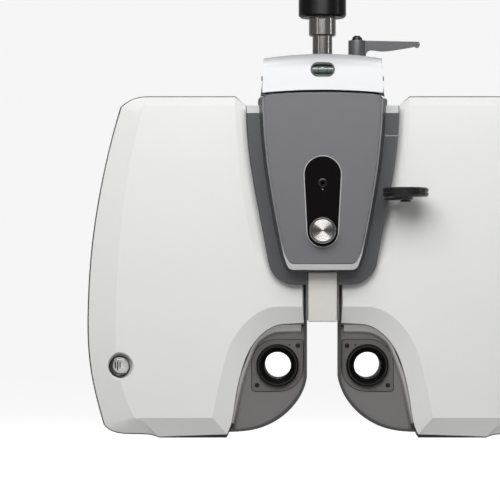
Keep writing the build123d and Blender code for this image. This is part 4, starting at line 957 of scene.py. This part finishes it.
def buildBarStrips():
    middle, size = [part / mm for part in boxOf("nose_bar")]
    inner, outer = barStrip["inner"], barStrip["outer"]
    form = bmesh.new()
    for sign in (-1, 1):
        addBlock(form, (outer - inner, barStrip["thick"], size.z - barStrip["shorter"]),
                 (sign * (inner + outer) / 2, -barStrip["depth"], middle.z))
    roundOff(form, form.edges[:], barStrip["round"], 2)
    finishPiece(form, "barStrips", "stripGrey", "head", smooth=False)


buildBarStrips()


# screws of the rear shells and the rear cover
rearScrews = {
    "caseRadius": 2.6, "caseFace": -27.9,
    "caseSpots": ((-78.0, -113.0), (-134.0, -115.0), (-149.0, -300.0), (-88.0, -320.0)),
    "coverRadius": 2.08, "coverFace": -23.9,
    "coverSpots": ((-31.0, -84.0), (31.0, -84.0), (-17.0, -140.0), (17.0, -140.0)),
}


def buildRearScrews():
    for side, sign in (("left", 1), ("right", -1)):
        form = bmesh.new()
        for across, up in rearScrews["caseSpots"]:
            addScrew(form, (sign * across, up), rearScrews["caseRadius"], rearScrews["caseFace"], 1.0)
        finishPiece(form, f"{side}CaseScrews", "screwBlack", f"{side}_chamber", sharp=sharpFrom)
    form = bmesh.new()
    for spot in rearScrews["coverSpots"]:
        addScrew(form, spot, rearScrews["coverRadius"], rearScrews["coverFace"], 1.0)
    finishPiece(form, "coverScrews", "screwBlack", "head", sharp=sharpFrom)


buildRearScrews()
print("nose bar and rear shells dressed")


# alignment windows: a dark ring, a domed glass, and before the mirror a pale disc painted as the
# mirror's reflection, and a scale; the disc sits off the middle, up and towards the nose, so a crescent
# of painted shade shows on the far side
alignWindow = {
    "face": 28.6, "steps": 72,
    "ring": ((-3.6, 7.25), (-3.6, 6.7), (-2.2, 6.5), (-1.6, 6.6), (-1.2, 7.0), (-1.2, 7.5)),
    "glass": ((-3.4, 6.65), (-2.6, 6.65), (-1.9, 5.2), (-1.5, 3.2), (-1.35, 0.0)),
    "mirrorFace": 22.0,
    "reflectionDisc": ((0.1, 0.0), (0.1, 4.7), (0.0, 5.0)), "reflectionAt": (0.5, 0.5),
    "bars": ((-2.9, 4.2), (-1.5, 6.4), (0.1, 4.2)),   # place and height of each
    "barWidth": 0.8, "barThick": 0.3, "barRise": 0.14, "barUp": 0.6, "barRound": 0.08,
}


def buildAlignWindows():
    for side, sign in (("left", -1), ("right", 1)):
        centre, chamber = middleOf(f"{side}_alignment_mirror"), f"{side}_chamber"
        for part, finish, sharp in (("ring", "ringBlack", sharpFrom), ("glass", "clearGlass", None)):
            form = turnedForm(alignWindow[part], (centre.x, 0.0, centre.z), alignWindow["face"],
                              steps=alignWindow["steps"])
            finishPiece(form, f"{side}Window{part.capitalize()}", finish, chamber, sharp=sharp)
        # a pale disc before the dark mirror: painted reflection, set off the middle so the dark around
        # it shows as a crescent of painted shade
        across, up = alignWindow["reflectionAt"]
        reflectionDisc = turnedForm(alignWindow["reflectionDisc"], (centre.x - sign * across, 0.0, centre.z + up),
                            alignWindow["mirrorFace"])
        finishPiece(reflectionDisc, f"{side}WindowReflection", "mirrorReflectionPale", chamber, sharp=sharpFrom)
        bars = bmesh.new()
        for across, tall in alignWindow["bars"]:
            addBlock(bars, (alignWindow["barWidth"], alignWindow["barThick"], tall),
                     (centre.x - sign * across, -(alignWindow["mirrorFace"] + alignWindow["barRise"]),
                      centre.z + alignWindow["barUp"]))
        roundOff(bars, bars.edges[:], alignWindow["barRound"], 1)
        finishPiece(bars, f"{side}WindowScale", "screwBlack", chamber, smooth=False)


buildAlignWindows()
print("alignment windows built")
